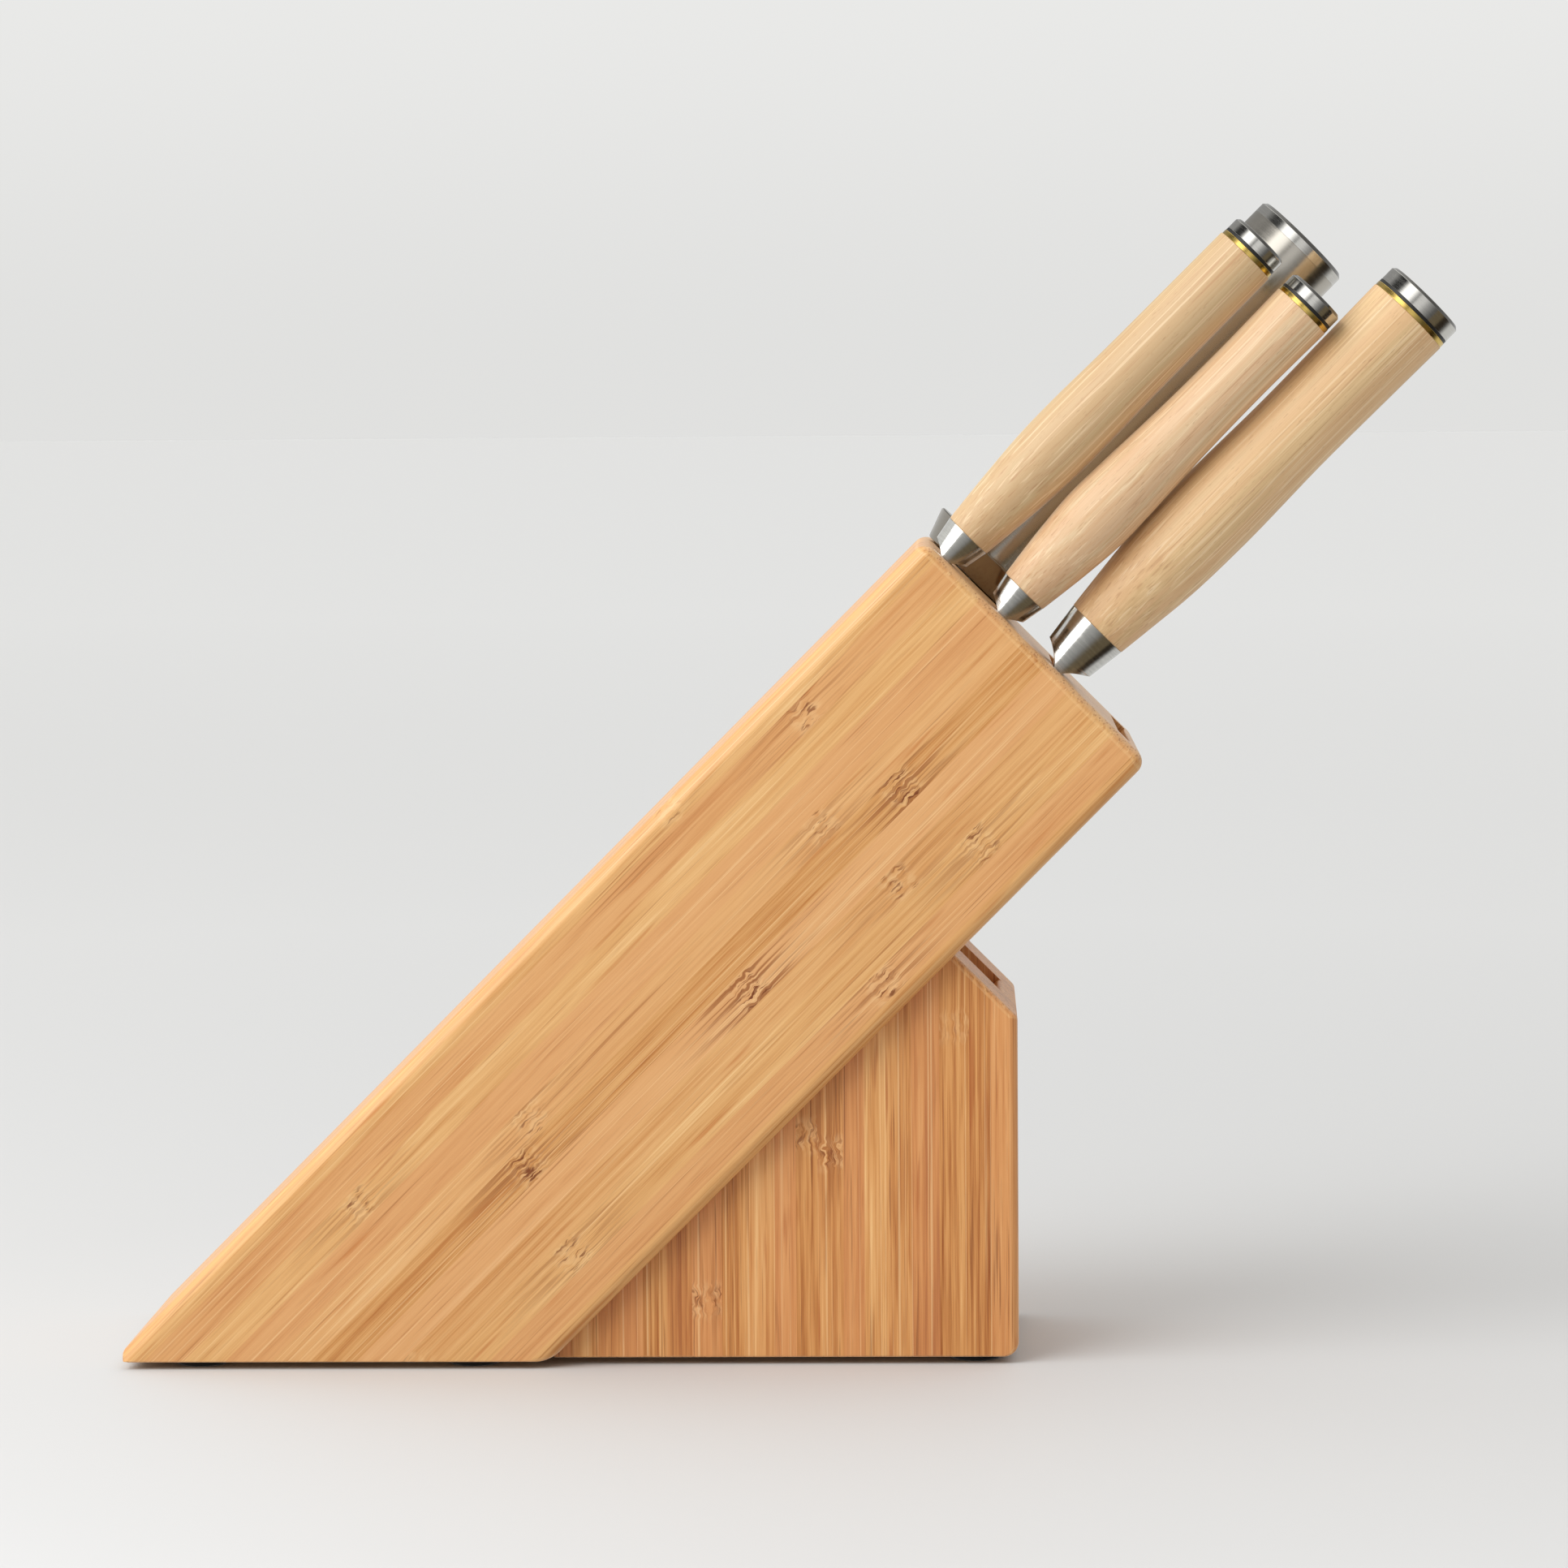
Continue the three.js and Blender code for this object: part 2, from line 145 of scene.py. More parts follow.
ROUND_RINGS, SCOOP_RINGS = 6, 20
SCOOP_POWER = 1.9  # how late the bolster's scoops widen towards its waist
SPINE_EASE, SPINE_ROUND = 0.6, 0.25  # the spine's share of the thickness, and how deep its round goes
THINNING = 0.6  # what a blade loses of its thickness from heel to tip
GROUND_RUN = 6  # below the neck, where the grinding reaches its full depth
EDGE_HALF = 0.07
BEVEL_SHARE = 0.045  # of the blade's width
BEVEL_HALF = 0.16  # what the bevel's upper line adds to the edge
LEAST_WIDTH = 0.2  # of a blade at its point
POINT_SHARE = 0.55  # of the blade's width, from the edge back to the point
TIP_RUN = 12  # the stretch before the tip that has closer rings
TANG_HALF = (1.0, 3.0)  # half thickness, half width
TANG_BORE = 3.6
TANG_SPARE = 20
TANG_CLEAR = 1  # the tang ends this far short of its bore
NECK_SHY = 0.1  # the blade is this much narrower than the bolster
WOOD_EDGE = 0.15
WOOD_STEPS = 60
BRASS_PROUD = 0.1
BRASS_EDGE = 0.12
SPACER_EDGE = 0.05
BASE_EDGE = 0.08  # of the rings and caps, where they meet the piece below
CAP_CHAMFER = 0.8
CHAMFER_ROUND = 0.3

STEEL_CHAMFER = 1.0
GUARD_BORE = 5.3
GUARD_FOOT = 16.4  # the guard's radius on the block's top face
GUARD_ROUNDS = (0, 0.5, 0.6, 0, 0)
TUBE_WALL = 1.2
ROD_BEVEL = 2
ROD_STEPS = 96
ROD_GROOVE = 0.965  # every other point of the rod's section, as a share of its radius

PAD_HOLLOW = 0.35  # the pads rest on a rim round a shallow hollow
PAD_RIM = (2.6, 2.2)  # how far in the rim's slope starts and ends
PAD_ROUNDS = (0, 0.2, 0.3, 0.6, 0.15, 0)
PAD_STEPS = 40

# ---- Meshes ----


def bend(before, corner, after, radius, steps):
    """Points of the arc that rounds a corner, all of them on the corner if the radius is next to nothing."""
    if radius <= SHARP:
        return [corner] * (steps + 1)
    back = (before - corner) / np.linalg.norm(before - corner)
    ahead = (after - corner) / np.linalg.norm(after - corner)
    half = math.acos(max(-1.0, min(1.0, float(back @ ahead)))) / 2
    middle = (back + ahead) / np.linalg.norm(back + ahead)
    centre = corner + middle * radius / math.sin(half)
    start = corner + back * radius / math.tan(half) - centre
    end = corner + ahead * radius / math.tan(half) - centre
    turn = math.pi - 2 * half
    arc = []
    for k in range(steps + 1):
        share = k / steps
        weights = math.sin((1 - share) * turn), math.sin(share * turn)
        arc.append(centre + (weights[0] * start + weights[1] * end) / math.sin(turn))
    return arc


def rounded(corners, radii):
    """A closed outline with its corners rounded."""
    corners = [np.array(c, float) for c in corners]
    count = len(corners)
    points = []
    for i in range(count):
        points += bend(corners[i - 1], corners[i], corners[(i + 1) % count], radii[i], ARC_STEPS)
    return np.array(points)


def softened(profile, radii):
    """An open profile with its inner corners rounded. radii has a value for each point."""
    points = [np.array(p, float) for p in profile]
    soft = [points[0]]
    for i in range(1, len(points) - 1):
        if radii[i]:
            soft += bend(points[i - 1], points[i], points[i + 1], radii[i], SOFT_STEPS)
        else:
            soft.append(points[i])
    return soft + [points[-1]]


def inset(corners, shifts):
    """The corners of an outline whose sides have each moved inwards. It runs anticlockwise."""
    corners = [np.array(c, float) for c in corners]
    count = len(corners)
    normals = []
    for i in range(count):
        side = corners[(i + 1) % count] - corners[i]
        side /= np.linalg.norm(side)
        normals.append(np.array((-side[1], side[0])))
    moved = []
    for i in range(count):
        both = np.array((normals[i - 1], normals[i]))
        moved.append(corners[i] + np.linalg.solve(both, (shifts[i - 1], shifts[i])))
    return moved


def loft(rings, closed=False):
    """Vertices and faces of a skin over rings of equal counts, with its ends filled unless closed."""
    count = len(rings[0])
    faces = []
    for k in range(len(rings) if closed else len(rings) - 1):
        low, high = k * count, ((k + 1) % len(rings)) * count
        for i in range(count):
            j = (i + 1) % count
            faces.append((low + i, low + j, high + j, high + i))
    if not closed:
        last = (len(rings) - 1) * count
        faces.append(tuple(range(count))[::-1])
        faces.append(tuple(range(last, last + count)))
    return np.vstack(rings), faces


def add_object(name, data):
    thing = bpy.data.objects.new(name, data)
    bpy.context.scene.collection.objects.link(thing)
    return thing


def build(name, parts, material, body, nodes, crease=SMOOTH_ANGLE):
    """One piece from lofted parts in the leaning frame. It rides on a body and stands for CAD nodes."""
    mesh = bpy.data.meshes.new(name)
    points = np.vstack([p for p, _ in parts]) * MM @ TO_WORLD + np.array(ORIGIN)
    faces, used = [], 0
    for part, sides in parts:
        faces += [tuple(used + i for i in side) for side in sides]
        used += len(part)
    mesh.from_pydata(points.tolist(), [], faces)
    shape = bmesh.new()
    shape.from_mesh(mesh)
    bmesh.ops.remove_doubles(shape, verts=shape.verts, dist=WELD)
    bmesh.ops.dissolve_degenerate(shape, edges=shape.edges, dist=WELD)
    bmesh.ops.recalc_face_normals(shape, faces=shape.faces)
    shape.to_mesh(mesh)
    shape.free()
    mesh.polygons.foreach_set("use_smooth", [True] * len(mesh.polygons))
    mesh.set_sharp_from_angle(angle=crease)
    piece = add_object(name, mesh)
    piece.modifiers.new("flat_faces", "WEIGHTED_NORMAL").keep_sharp = True
    mesh.materials.append(material)
    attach(piece, body)
    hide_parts(*nodes)
    return piece


def on_depth(outline, depth):
    """An across and along outline, placed at a depth or at a depth for each point."""
    return np.column_stack((outline[:, 0], np.broadcast_to(depth, len(outline)), outline[:, 1]))


def softened_plate(corners, radii, fillets, flat_side, round_side):
    """A plate with its outline's edges rounded on one side. fillets has a value for each side."""
    inward = math.copysign(1, flat_side - round_side)
    count = len(corners)
    share = np.linspace(0, 1, ARC_STEPS + 1)
    fillet = np.concatenate([fillets[i - 1] * (1 - share) + fillets[i] * share for i in range(count)])
    rings = [on_depth(rounded(corners, radii), flat_side)]
    for k in range(FILLET_STEPS + 1):
        angle = math.pi / 2 * k / FILLET_STEPS
        shifts = [f * (1 - math.cos(angle)) for f in fillets]
        tight = [max(r - max(shifts[i - 1], shifts[i]), LEAST_RADIUS) for i, r in enumerate(radii)]
        outline = rounded(inset(corners, shifts), tight)
        rings.append(on_depth(outline, round_side + inward * fillet * (1 - math.sin(angle))))
    return loft(rings)


def circle(axis, radius, height, steps=ROUND_STEPS):
    """A ring about a handle's axis, at a height over the block's top face."""
    turn = np.linspace(0, 2 * math.pi, steps, endpoint=False)
    across, depth = axis[0] + radius * np.cos(turn), axis[1] + radius * np.sin(turn)
    return np.column_stack((across, depth, np.full(steps, TOP + height)))


def turned(axis, profile, closed=False):
    """A skin turned about a handle's axis from radius and height pairs."""
    return loft([circle(axis, radius, height) for radius, height in profile], closed)


# ---- Materials ----


def srgb(red, green, blue):
    """A colour given in display values from 0 to 255, as the linear colour that nodes use."""
    display = [c / 255 for c in (red, green, blue)]
    linear = [c / 12.92 if c <= 0.04 else ((c + 0.055) / 1.055) ** 2.4 for c in display]
    return (*linear, 1.0)


def grey(value):
    return (value, value, value, 1.0)


def scaled_colour(colour, factor):
    return tuple(min(1.0, factor * c) for c in colour[:3]) + (1.0,)


class Paint:
    """Builds the nodes of one material or world. Its methods return output sockets."""

    def __init__(self, owner, shader="Principled BSDF"):
        owner.use_nodes = True
        self.owner = owner
        self.tree = owner.node_tree
        self.shader = self.tree.nodes[shader]

    def set(self, socket, value):
        self.feed(self.shader.inputs[socket], value)

    def coordinate(self, kind="Object"):
        return self.node("TexCoord", {}).outputs[kind]

    def feed(self, socket, value):
        if isinstance(value, bpy.types.NodeSocket):
            self.tree.links.new(value, socket)
        else:
            socket.default_value = value

    def node(self, kind, inputs, **settings):
        node = self.tree.nodes.new(f"ShaderNode{kind}")
        for key, value in settings.items():
            setattr(node, key, value)
        for socket, value in inputs.items():
            self.feed(node.inputs[socket], value)
        return node

    def math(self, operation, *values):
        return self.node("Math", dict(enumerate(values)), operation=operation).outputs[0]

    def times(self, first, second):
        return self.math("MULTIPLY", first, second)

    def minus(self, first, second):
        return self.math("SUBTRACT", first, second)

    def vector(self, operation, *values):
        node = self.node("VectorMath", dict(enumerate(values)), operation=operation)
        return node.outputs["Value" if operation in ("DOT_PRODUCT", "LENGTH") else "Vector"]

    def join(self, x, y, z):
        return self.node("CombineXYZ", {0: x, 1: y, 2: z}).outputs[0]

    def divided(self, values, sizes):
        """Three values, each over its own size, as a vector."""
        return self.join(*[self.math("DIVIDE", value, size) for value, size in zip(values, sizes)])

    def vary(self, level, noise, amount):
        """A level that a noise moves up and down."""
        return self.math("MULTIPLY_ADD", self.minus(noise, 0.5), amount, level)

    def fade(self, value, start, end, low=0.0, high=1.0):
        inputs = {"Value": value, "From Min": start, "From Max": end, "To Min": low, "To Max": high}
        return self.node("MapRange", inputs, interpolation_type="SMOOTHSTEP").outputs[0]

    def noise(self, vector, detail=2.0, roughness=0.5):
        inputs = {"Vector": vector, "Scale": 1.0, "Detail": detail, "Roughness": roughness}
        return self.node("TexNoise", inputs).outputs["Fac"]

    def ramp(self, value, stops, interpolation="LINEAR"):
        """Colours along a value. stops holds position and colour pairs."""
        node = self.node("ValToRGB", {"Fac": value})
        node.color_ramp.interpolation = interpolation
        elements = node.color_ramp.elements
        while len(elements) < len(stops):
            elements.new(1.0)
        for element, (position, colour) in zip(elements, stops):
            element.position = position
            element.color = colour
        return node.outputs["Color"]

    def mix(self, factor, first, second):
        return self.node("Mix", {0: factor, 6: first, 7: second}, data_type="RGBA").outputs[2]

    def bump(self, height, depth, strength=1.0):
        """Relief of a depth in millimetres."""
        inputs = {"Height": height, "Distance": depth * MM, "Strength": strength}
        self.set("Normal", self.node("Bump", inputs).outputs[0])

    def leaning(self):
        """The point in the leaning frame, as three values in millimetres."""
        place = self.vector("SUBTRACT", self.coordinate(), tuple(ORIGIN))
        axes = [tuple(axis / MM) for axis in (ACROSS, DEPTH, ALONG)]
        return [self.vector("DOT_PRODUCT", place, axis) for axis in axes]

    def standing(self):
        """The point in the world's axes, from the block's near lower left, in millimetres."""
        place = self.vector("SUBTRACT", self.coordinate(), tuple(ORIGIN))
        place = self.vector("MULTIPLY", place, (1 / MM, 1 / MM, 1 / MM))
        return list(self.node("SeparateXYZ", {0: place}).outputs)


def surface(name):
    return Paint(bpy.data.materials.new(name))


# Noise along bamboo's fibres: its width and length in millimetres, and its detail.
BROAD = (4.5, 110.0, 2.0)
STREAK = (1.2, 75.0, 3.0)
FINE = (0.4, 26.0, 2.0)
# Lines along the fibres: the keys of their weight and colour, their noise, and where they fade in.
FIBRE_LINES = (
    ("lines", "dark", (0.9, 60.0, 2.0), (0.60, 0.72)),
    ("warm_lines", "warm", (2.6, 45.0, 2.0), (0.60, 0.74)),
    ("light_lines", "light", (0.6, 260.0, 1.0), (0.62, 0.70)),
)
BUNDLE_SIZE = (0.85, 17.0)
# How much a face looks along the fibres, from 0 to 1, where it starts and is full.
END_FACING = (0.35, 0.85)
# Painted highlight: the arris facing ranges bound a thin band where the front meets its fillets, made paler
# as if that edge caught the light, by the arris tint below.
ARRIS_HIGHLIGHT_FACING = ((0.03, 0.12), (0.42, 0.24))
END_TINT, ARRIS_HIGHLIGHT_TINT, END_BUNDLES = 0.55, 0.25, 0.6
MARK_REACH = (6.5, 1.5)  # where a culm node's mark starts and is full, in millimetres from the node
STAIN_REACH = (32.0, 2.0)
OWN_SHIFT = 173.0  # how far along each strip's own number shifts its grain
SWIRL_SCALE = 0.3


class Grain:
    """Laminated bamboo. side, depth and along are millimetres, and its fibres run along.
    strips holds each strip's tone, its culm nodes as place and strength, and a number of its own."""

    def __init__(self, paint, side, depth, along, strips, colours):
        self.paint = paint
        self.colours = colours
        self.depth = depth
        self.tone, marks, self.own = strips
        self.near_mark, self.long_mark = self.masks(along, marks)
        self.shifted = paint.math("MULTIPLY_ADD", self.own, OWN_SHIFT, along)
        swirl = [paint.times(v, SWIRL_SCALE) for v in (side, depth, self.shifted)]
        swirl = paint.minus(paint.noise(paint.join(*swirl)), 0.5)
        reach = paint.times(self.near_mark, colours["swirl"])
        self.bent = paint.math("ADD", side, paint.times(swirl, reach))
        facing = paint.vector("DOT_PRODUCT", paint.coordinate("Normal"), tuple(colours["fibre"]))
        self.facing = paint.math("ABSOLUTE", facing)

    def masks(self, along, marks):
        """How strongly the culm nodes' marks show, and the stains that trail from the strong ones."""
        paint = self.paint
        near, trail = 0.0, 0.0
        for place, strength in marks:
            away = paint.math("ABSOLUTE", paint.minus(along, place))
            shown = paint.times(paint.fade(away, *MARK_REACH), strength)
            near = paint.math("MAXIMUM", near, shown)
            strong = paint.fade(strength, 0.4, 1.5)
            stained = paint.times(paint.fade(away, *STAIN_REACH), strong)
            trail = paint.math("MAXIMUM", trail, stained)
        return near, trail

    def stretched(self, width, length):
        values = (self.bent, self.depth, self.shifted)
        return self.paint.divided(values, (width, width, length))

    def fibres(self, width, length, detail):
        return self.paint.noise(self.stretched(width, length), detail, 0.55)

    def tint(self, colour, mask, weight, key):
        return self.paint.mix(self.paint.times(mask, weight), colour, self.colours[key])

    def bundles(self):
        """Cut ends of the darker bundles."""
        inputs = {"Vector": self.stretched(*BUNDLE_SIZE), "Scale": 1.0}
        cells = self.paint.node("TexVoronoi", inputs).outputs["Distance"]
        return self.paint.fade(cells, 0.36, 0.22)

    def strip_colour(self, streak, fine):
        """The strips' tones with their streaks and lines."""
        paint, colours = self.paint, self.colours
        level = paint.vary(self.tone, self.fibres(*BROAD), colours["broad"])
        level = paint.vary(level, streak, colours["streak"])
        level = paint.vary(level, fine, colours["fine"])
        last = len(colours["tones"]) - 1
        colour = paint.ramp(level, [(i / last, c) for i, c in enumerate(colours["tones"])])
        colour = self.tint(colour, paint.fade(self.own, 0.35, 0.9), colours["blush"], "pink")
        for weight, key, size, (start, end) in FIBRE_LINES:
            colour = self.tint(colour, paint.fade(self.fibres(*size), start, end), colours[weight], key)
        return colour

    def ends(self, colour, bundle):
        """Cut ends of the strips, a painted highlight along the edges round them, and the bundles that dot
        both.
        """
        paint = self.paint
        end = paint.fade(self.facing, *END_FACING)
        arris_highlight = paint.times(*[paint.fade(self.facing, *facing) for facing in ARRIS_HIGHLIGHT_FACING])
        colour = self.tint(colour, end, END_TINT, "end")
        # Painted highlight: a pale line along the fillets' first edge, where the light would catch it.
        colour = self.tint(colour, arris_highlight, ARRIS_HIGHLIGHT_TINT, "light")
        dots = paint.fade(end, 0.0, 1.0, self.colours["bundles"], END_BUNDLES)
        return self.tint(colour, bundle, dots, "dark")

    def culm_marks(self, colour):
        """Pale flecks, long stains and dark strokes at the culm nodes."""
        paint, near = self.paint, self.near_mark
        mild = paint.times(near, paint.math("MULTIPLY_ADD", near, -0.55, 1.0))
        pale = paint.times(mild, paint.fade(self.fibres(1.8, 4.0, 1.0), 0.56, 0.42))
        colour = self.tint(colour, pale, 0.65, "light")
        streaks = paint.fade(self.fibres(1.1, 34.0, 2.0), 0.47, 0.59)
        colour = self.tint(colour, paint.times(self.long_mark, streaks), 0.85, "stain")
        patch = paint.math("MULTIPLY_ADD", near, 0.14, self.fibres(2.6, 5.0, 1.0))
        stroke = paint.fade(self.fibres(0.7, 5.0, 1.5), 0.52, 0.62)
        stroke = paint.times(stroke, paint.fade(patch, 0.54, 0.68))
        return self.tint(colour, paint.times(stroke, near), 0.8, "mark")


def bamboo(paint, *grain_inputs):
    """Covers a material in bamboo. grain_inputs are the rest of what Grain takes."""
    grain = Grain(paint, *grain_inputs)
    streak, fine = grain.fibres(*STREAK), grain.fibres(*FINE)
    bundle = grain.bundles()
    colour = grain.ends(grain.strip_colour(streak, fine), bundle)
    paint.set("Base Color", grain.culm_marks(colour))
    gloss = grain.colours["gloss"]
    paint.set("Roughness", paint.fade(streak, 0.3, 0.7, gloss - 0.05, gloss + 0.08))
    relief = paint.math("ADD", paint.times(fine, 0.4), paint.times(streak, 0.4))
    paint.bump(paint.math("MULTIPLY_ADD", bundle, -0.3, relief), 0.03, 0.6)
    return paint.owner


STRIP_REACH = 400.0  # at least the longest strip
STRONGEST = 2.0  # at least the strongest culm node


def laid_strips(paint, side, starts, tones, nodes, span=100.0):
    """Strips listed one by one: where each starts, its tone, and the place and strength of two culm nodes.
    """
    share = paint.math("DIVIDE", side, span)

    def look_up(values):
        return paint.ramp(share, [(s / span, grey(v)) for s, v in zip(starts, values)], "CONSTANT")

    marks = []
    for k in range(2):
        place = paint.times(look_up([n[k][0] / STRIP_REACH for n in nodes]), STRIP_REACH)
        strength = paint.times(look_up([n[k][1] / STRONGEST for n in nodes]), STRONGEST)
        marks.append((place, strength))
    own = look_up([(i * 7 % len(starts) + 1) / len(starts) for i in range(len(starts))])
    return look_up(tones), marks, own


DRAWN_LENGTH = 330.0  # the strips' culm nodes lie within it
DRAWN_SPREAD = 0.3  # of the strips' tones


def drawn_strips(paint, index):
    """Strips whose tones and culm nodes are drawn from their numbers."""
    draw = paint.node("TexWhiteNoise", {"W": index}, noise_dimensions="1D")
    red, green, blue = list(paint.node("SeparateColor", {0: draw.outputs["Color"]}).outputs)[:3]
    tone = paint.vary(0.5, red, DRAWN_SPREAD)
    place = paint.times(green, DRAWN_LENGTH)
    return tone, [(place, paint.math("MULTIPLY_ADD", blue, 1.1, -0.1))], blue


BLOCK_TONES = ((184, 112, 50), (210, 149, 85), (223, 168, 105), (231, 180, 117), (242, 199, 140))
PROP_TONES = ((158, 84, 32), (194, 124, 62), (218, 152, 86), (232, 172, 106), (246, 196, 132))
BLOCK_COLOURS = {
    "fibre": ALONG,
    "tones": [srgb(*c) for c in BLOCK_TONES],
    "dark": srgb(158, 88, 36),
    "warm": srgb(196, 118, 54),
    "light": srgb(246, 206, 150),
    "pink": srgb(225, 164, 109),
    "end": srgb(224, 184, 138),
    "mark": srgb(128, 64, 20),
    "stain": srgb(156, 90, 38),
    "swirl": 2.4,
    "broad": 0.9,
    "streak": 1.15,
    "fine": 0.7,
    "blush": 0.55,
    "lines": 0.5,
    "warm_lines": 0.6,
    "bundles": 0.1,
    "light_lines": 0.5,
    "gloss": 0.38,
}
PROP_COLOURS = {
    **BLOCK_COLOURS,
    "fibre": Vector((0, 0, 1)),
    "tones": [srgb(*c) for c in PROP_TONES],
    "dark": srgb(134, 66, 22),
    "warm": srgb(180, 98, 42),
    "light": srgb(246, 202, 146),
    "pink": srgb(222, 148, 92),
    "mark": srgb(150, 84, 38),
    "stain": srgb(170, 100, 44),
    "swirl": 5.0,
    "broad": 1.0,
    "streak": 1.3,
    "fine": 0.8,
    "lines": 0.6,
    "gloss": 0.44,
}
NONE = (0, 0)  # no culm node
FRONT_STRIPS = {
    "starts": (0, 6, 14, 22, 31, 39, 48, 57, 65, 74, 82),
    "tones": (0.56, 0.42, 0.62, 0.48, 0.60, 0.34, 0.66, 0.48, 0.60, 0.42, 0.50),
    "nodes": (
        ((219, 0.7), NONE), ((264, 1.0), NONE), ((80, 0.9), NONE), (NONE, NONE), ((131, 1.0), (245, 0.9)),
        ((121, 1.2), (268, 1.3)), ((199, 1.6), NONE), ((249, 0.9), (60, 0.4)), ((112, 1.0), (272, 1.0)),
        ((226, 1.1), NONE), (NONE, NONE),
    ),
}
PROP_START, PROP_END = 100.0, 252.0  # where the prop's columns begin and end, from the toe
PROP_FACE = 6.0  # the depth at which its first row of columns begins
PROP_ROW = 14.5  # the depth of a row
ROW_SHIFT = 57.0  # sideways from a row to the next
PROP_MARKS = {4: (30, 0.6), 9: (16, 1.0), 13: (62, 0.9), 14: (57, 1.2), 19: (92, 0.4)}
PROP_COLUMNS = {
    "starts": (0, 8, 14, 20, 27, 35, 41, 47, 54, 61, 69, 77, 84, 90, 96, 103, 109, 115, 122, 130, 138, 144),
    "tones": (
        0.50, 0.38, 0.58, 0.44, 0.56, 0.36, 0.50, 0.42, 0.40, 0.54, 0.40,
        0.66, 0.50, 0.42, 0.40, 0.36, 0.60, 0.48, 0.34, 0.54, 0.40, 0.58,
    ),
    "nodes": [(PROP_MARKS.get(column, NONE), NONE) for column in range(22)],
}
PANEL_STRIP = 8.3
BOARD_STRIP = 9.0
PANEL_DRAW = 40.0  # sets the rear panel's draws apart from the boards'


def front_bamboo():
    paint = surface("bamboo_front_panel")
    across, depth, along = paint.leaning()
    strips = laid_strips(paint, across, **FRONT_STRIPS)
    return bamboo(paint, across, depth, along, strips, BLOCK_COLOURS)


def panel_bamboo():
    paint = surface("bamboo_rear_panel")
    across, depth, along = paint.leaning()
    index = paint.math("FLOOR", paint.math("DIVIDE", across, PANEL_STRIP))
    strips = drawn_strips(paint, paint.math("ADD", index, PANEL_DRAW))
    return bamboo(paint, across, depth, along, strips, BLOCK_COLOURS)


def board_bamboo():
    paint = surface("bamboo_boards")
    across, depth, along = paint.leaning()
    index = paint.math("FLOOR", paint.math("DIVIDE", depth, BOARD_STRIP))
    strips = drawn_strips(paint, index)
    return bamboo(paint, depth, across, along, strips, BLOCK_COLOURS)


def prop_bamboo():
    paint = surface("bamboo_prop")
    sideways, depth, height = paint.standing()
    row = paint.math("DIVIDE", paint.minus(depth, PROP_FACE), PROP_ROW)
    place = paint.math("MULTIPLY_ADD", paint.math("FLOOR", row), ROW_SHIFT, sideways)
    place = paint.minus(paint.math("WRAP", place, PROP_END, PROP_START), PROP_START)
    strips = laid_strips(paint, place, **PROP_COLUMNS, span=PROP_END - PROP_START)
    return bamboo(paint, sideways, depth, height, strips, PROP_COLOURS)


# Layers over the wood's grain: width and length in millimetres, where they fade in, weight and colour.
WOOD_LAYERS = (
    ((0.9, 110.0), (0.58, 0.68), 0.4, srgb(248, 224, 184)),
    ((0.5, 38.0), (0.60, 0.70), 0.4, srgb(184, 130, 90)),
    ((0.35, 3.0), (0.66, 0.74), 0.3, srgb(160, 108, 72)),
)
SEED_SHIFT = 61.0


def handle_wood(name, light, dark, flush, seed):
    """Pale straight-grained hardwood with broad warmer streaks, pale stripes, veins and short pores."""
    paint = surface(f"wood_{name}")
    across, depth, along = paint.leaning()
    place = paint.math("ADD", across, seed * SEED_SHIFT), depth, along

    def grain(width, length, detail=1.0):
        return paint.noise(paint.divided(place, (width, width, length)), detail, 0.5)

    broad = paint.fade(grain(4.0, 260.0), 0.42, 0.58)
    streak = grain(1.0, 180.0, 2.0)
    fine = grain(0.4, 70.0)
    level = paint.vary(paint.vary(0.5, streak, 1.4), fine, 0.7)
    colour = paint.ramp(level, [(0.0, dark), (1.0, light)])
    colour = paint.mix(paint.times(broad, 0.5), colour, flush)
    for size, (start, end), weight, tint in WOOD_LAYERS:
        layer = paint.fade(grain(*size), start, end)
        colour = paint.mix(paint.times(layer, weight), colour, tint)
    paint.set("Base Color", colour)
    paint.set("Roughness", paint.fade(fine, 0.3, 0.7, 0.42, 0.54))
    # The last layer is the pores, which are sunk.
    paint.bump(paint.minus(paint.times(fine, 0.5), layer), 0.015, 0.5)
    return paint.owner


HAZE_SIZE = 14.0
MOULDED_SIZE = 0.35
# Painted dark reflection for the chamfers of the end caps.
CHAMFER_DARK_REFLECTION = srgb(46, 44, 42)


def brushed(name, colour, roughness, pitch, stretch, relief=0.0016, shade=0.82, edge=0.0):
    """Metal with fine lines round the handle's axis. They stand pitch apart and run stretch long, and
    shade is how dark they are. edge paints a dark reflection onto its chamfers, which face partly along the
    axis."""
    paint = surface(name)
    paint.set("Metallic", 1.0)
    place = paint.leaning()
    brush = paint.noise(paint.divided(place, (stretch, stretch, pitch)), 3.0, 0.6)
    haze = paint.noise(paint.divided(place, [HAZE_SIZE] * 3), 3.0, 0.6)
    colour = paint.mix(paint.fade(brush, 0.35, 0.65), scaled_colour(colour, shade), colour)
    facing = paint.vector("DOT_PRODUCT", paint.coordinate("Normal"), tuple(ALONG))
    chamfer = paint.times(paint.fade(facing, 0.2, 0.6), paint.fade(facing, 0.97, 0.8))
    # Painted dark reflection: the chamfers darkened as if they mirrored something dark.
    colour = paint.mix(paint.times(chamfer, edge), colour, CHAMFER_DARK_REFLECTION)
    paint.set("Base Color", colour)
    level = paint.math("ADD", paint.times(brush, 0.6), paint.times(haze, 0.4))
    paint.set("Roughness", paint.fade(level, 0.3, 0.7, roughness - 0.04, roughness + 0.06))
    paint.bump(brush, relief)
    return paint.owner


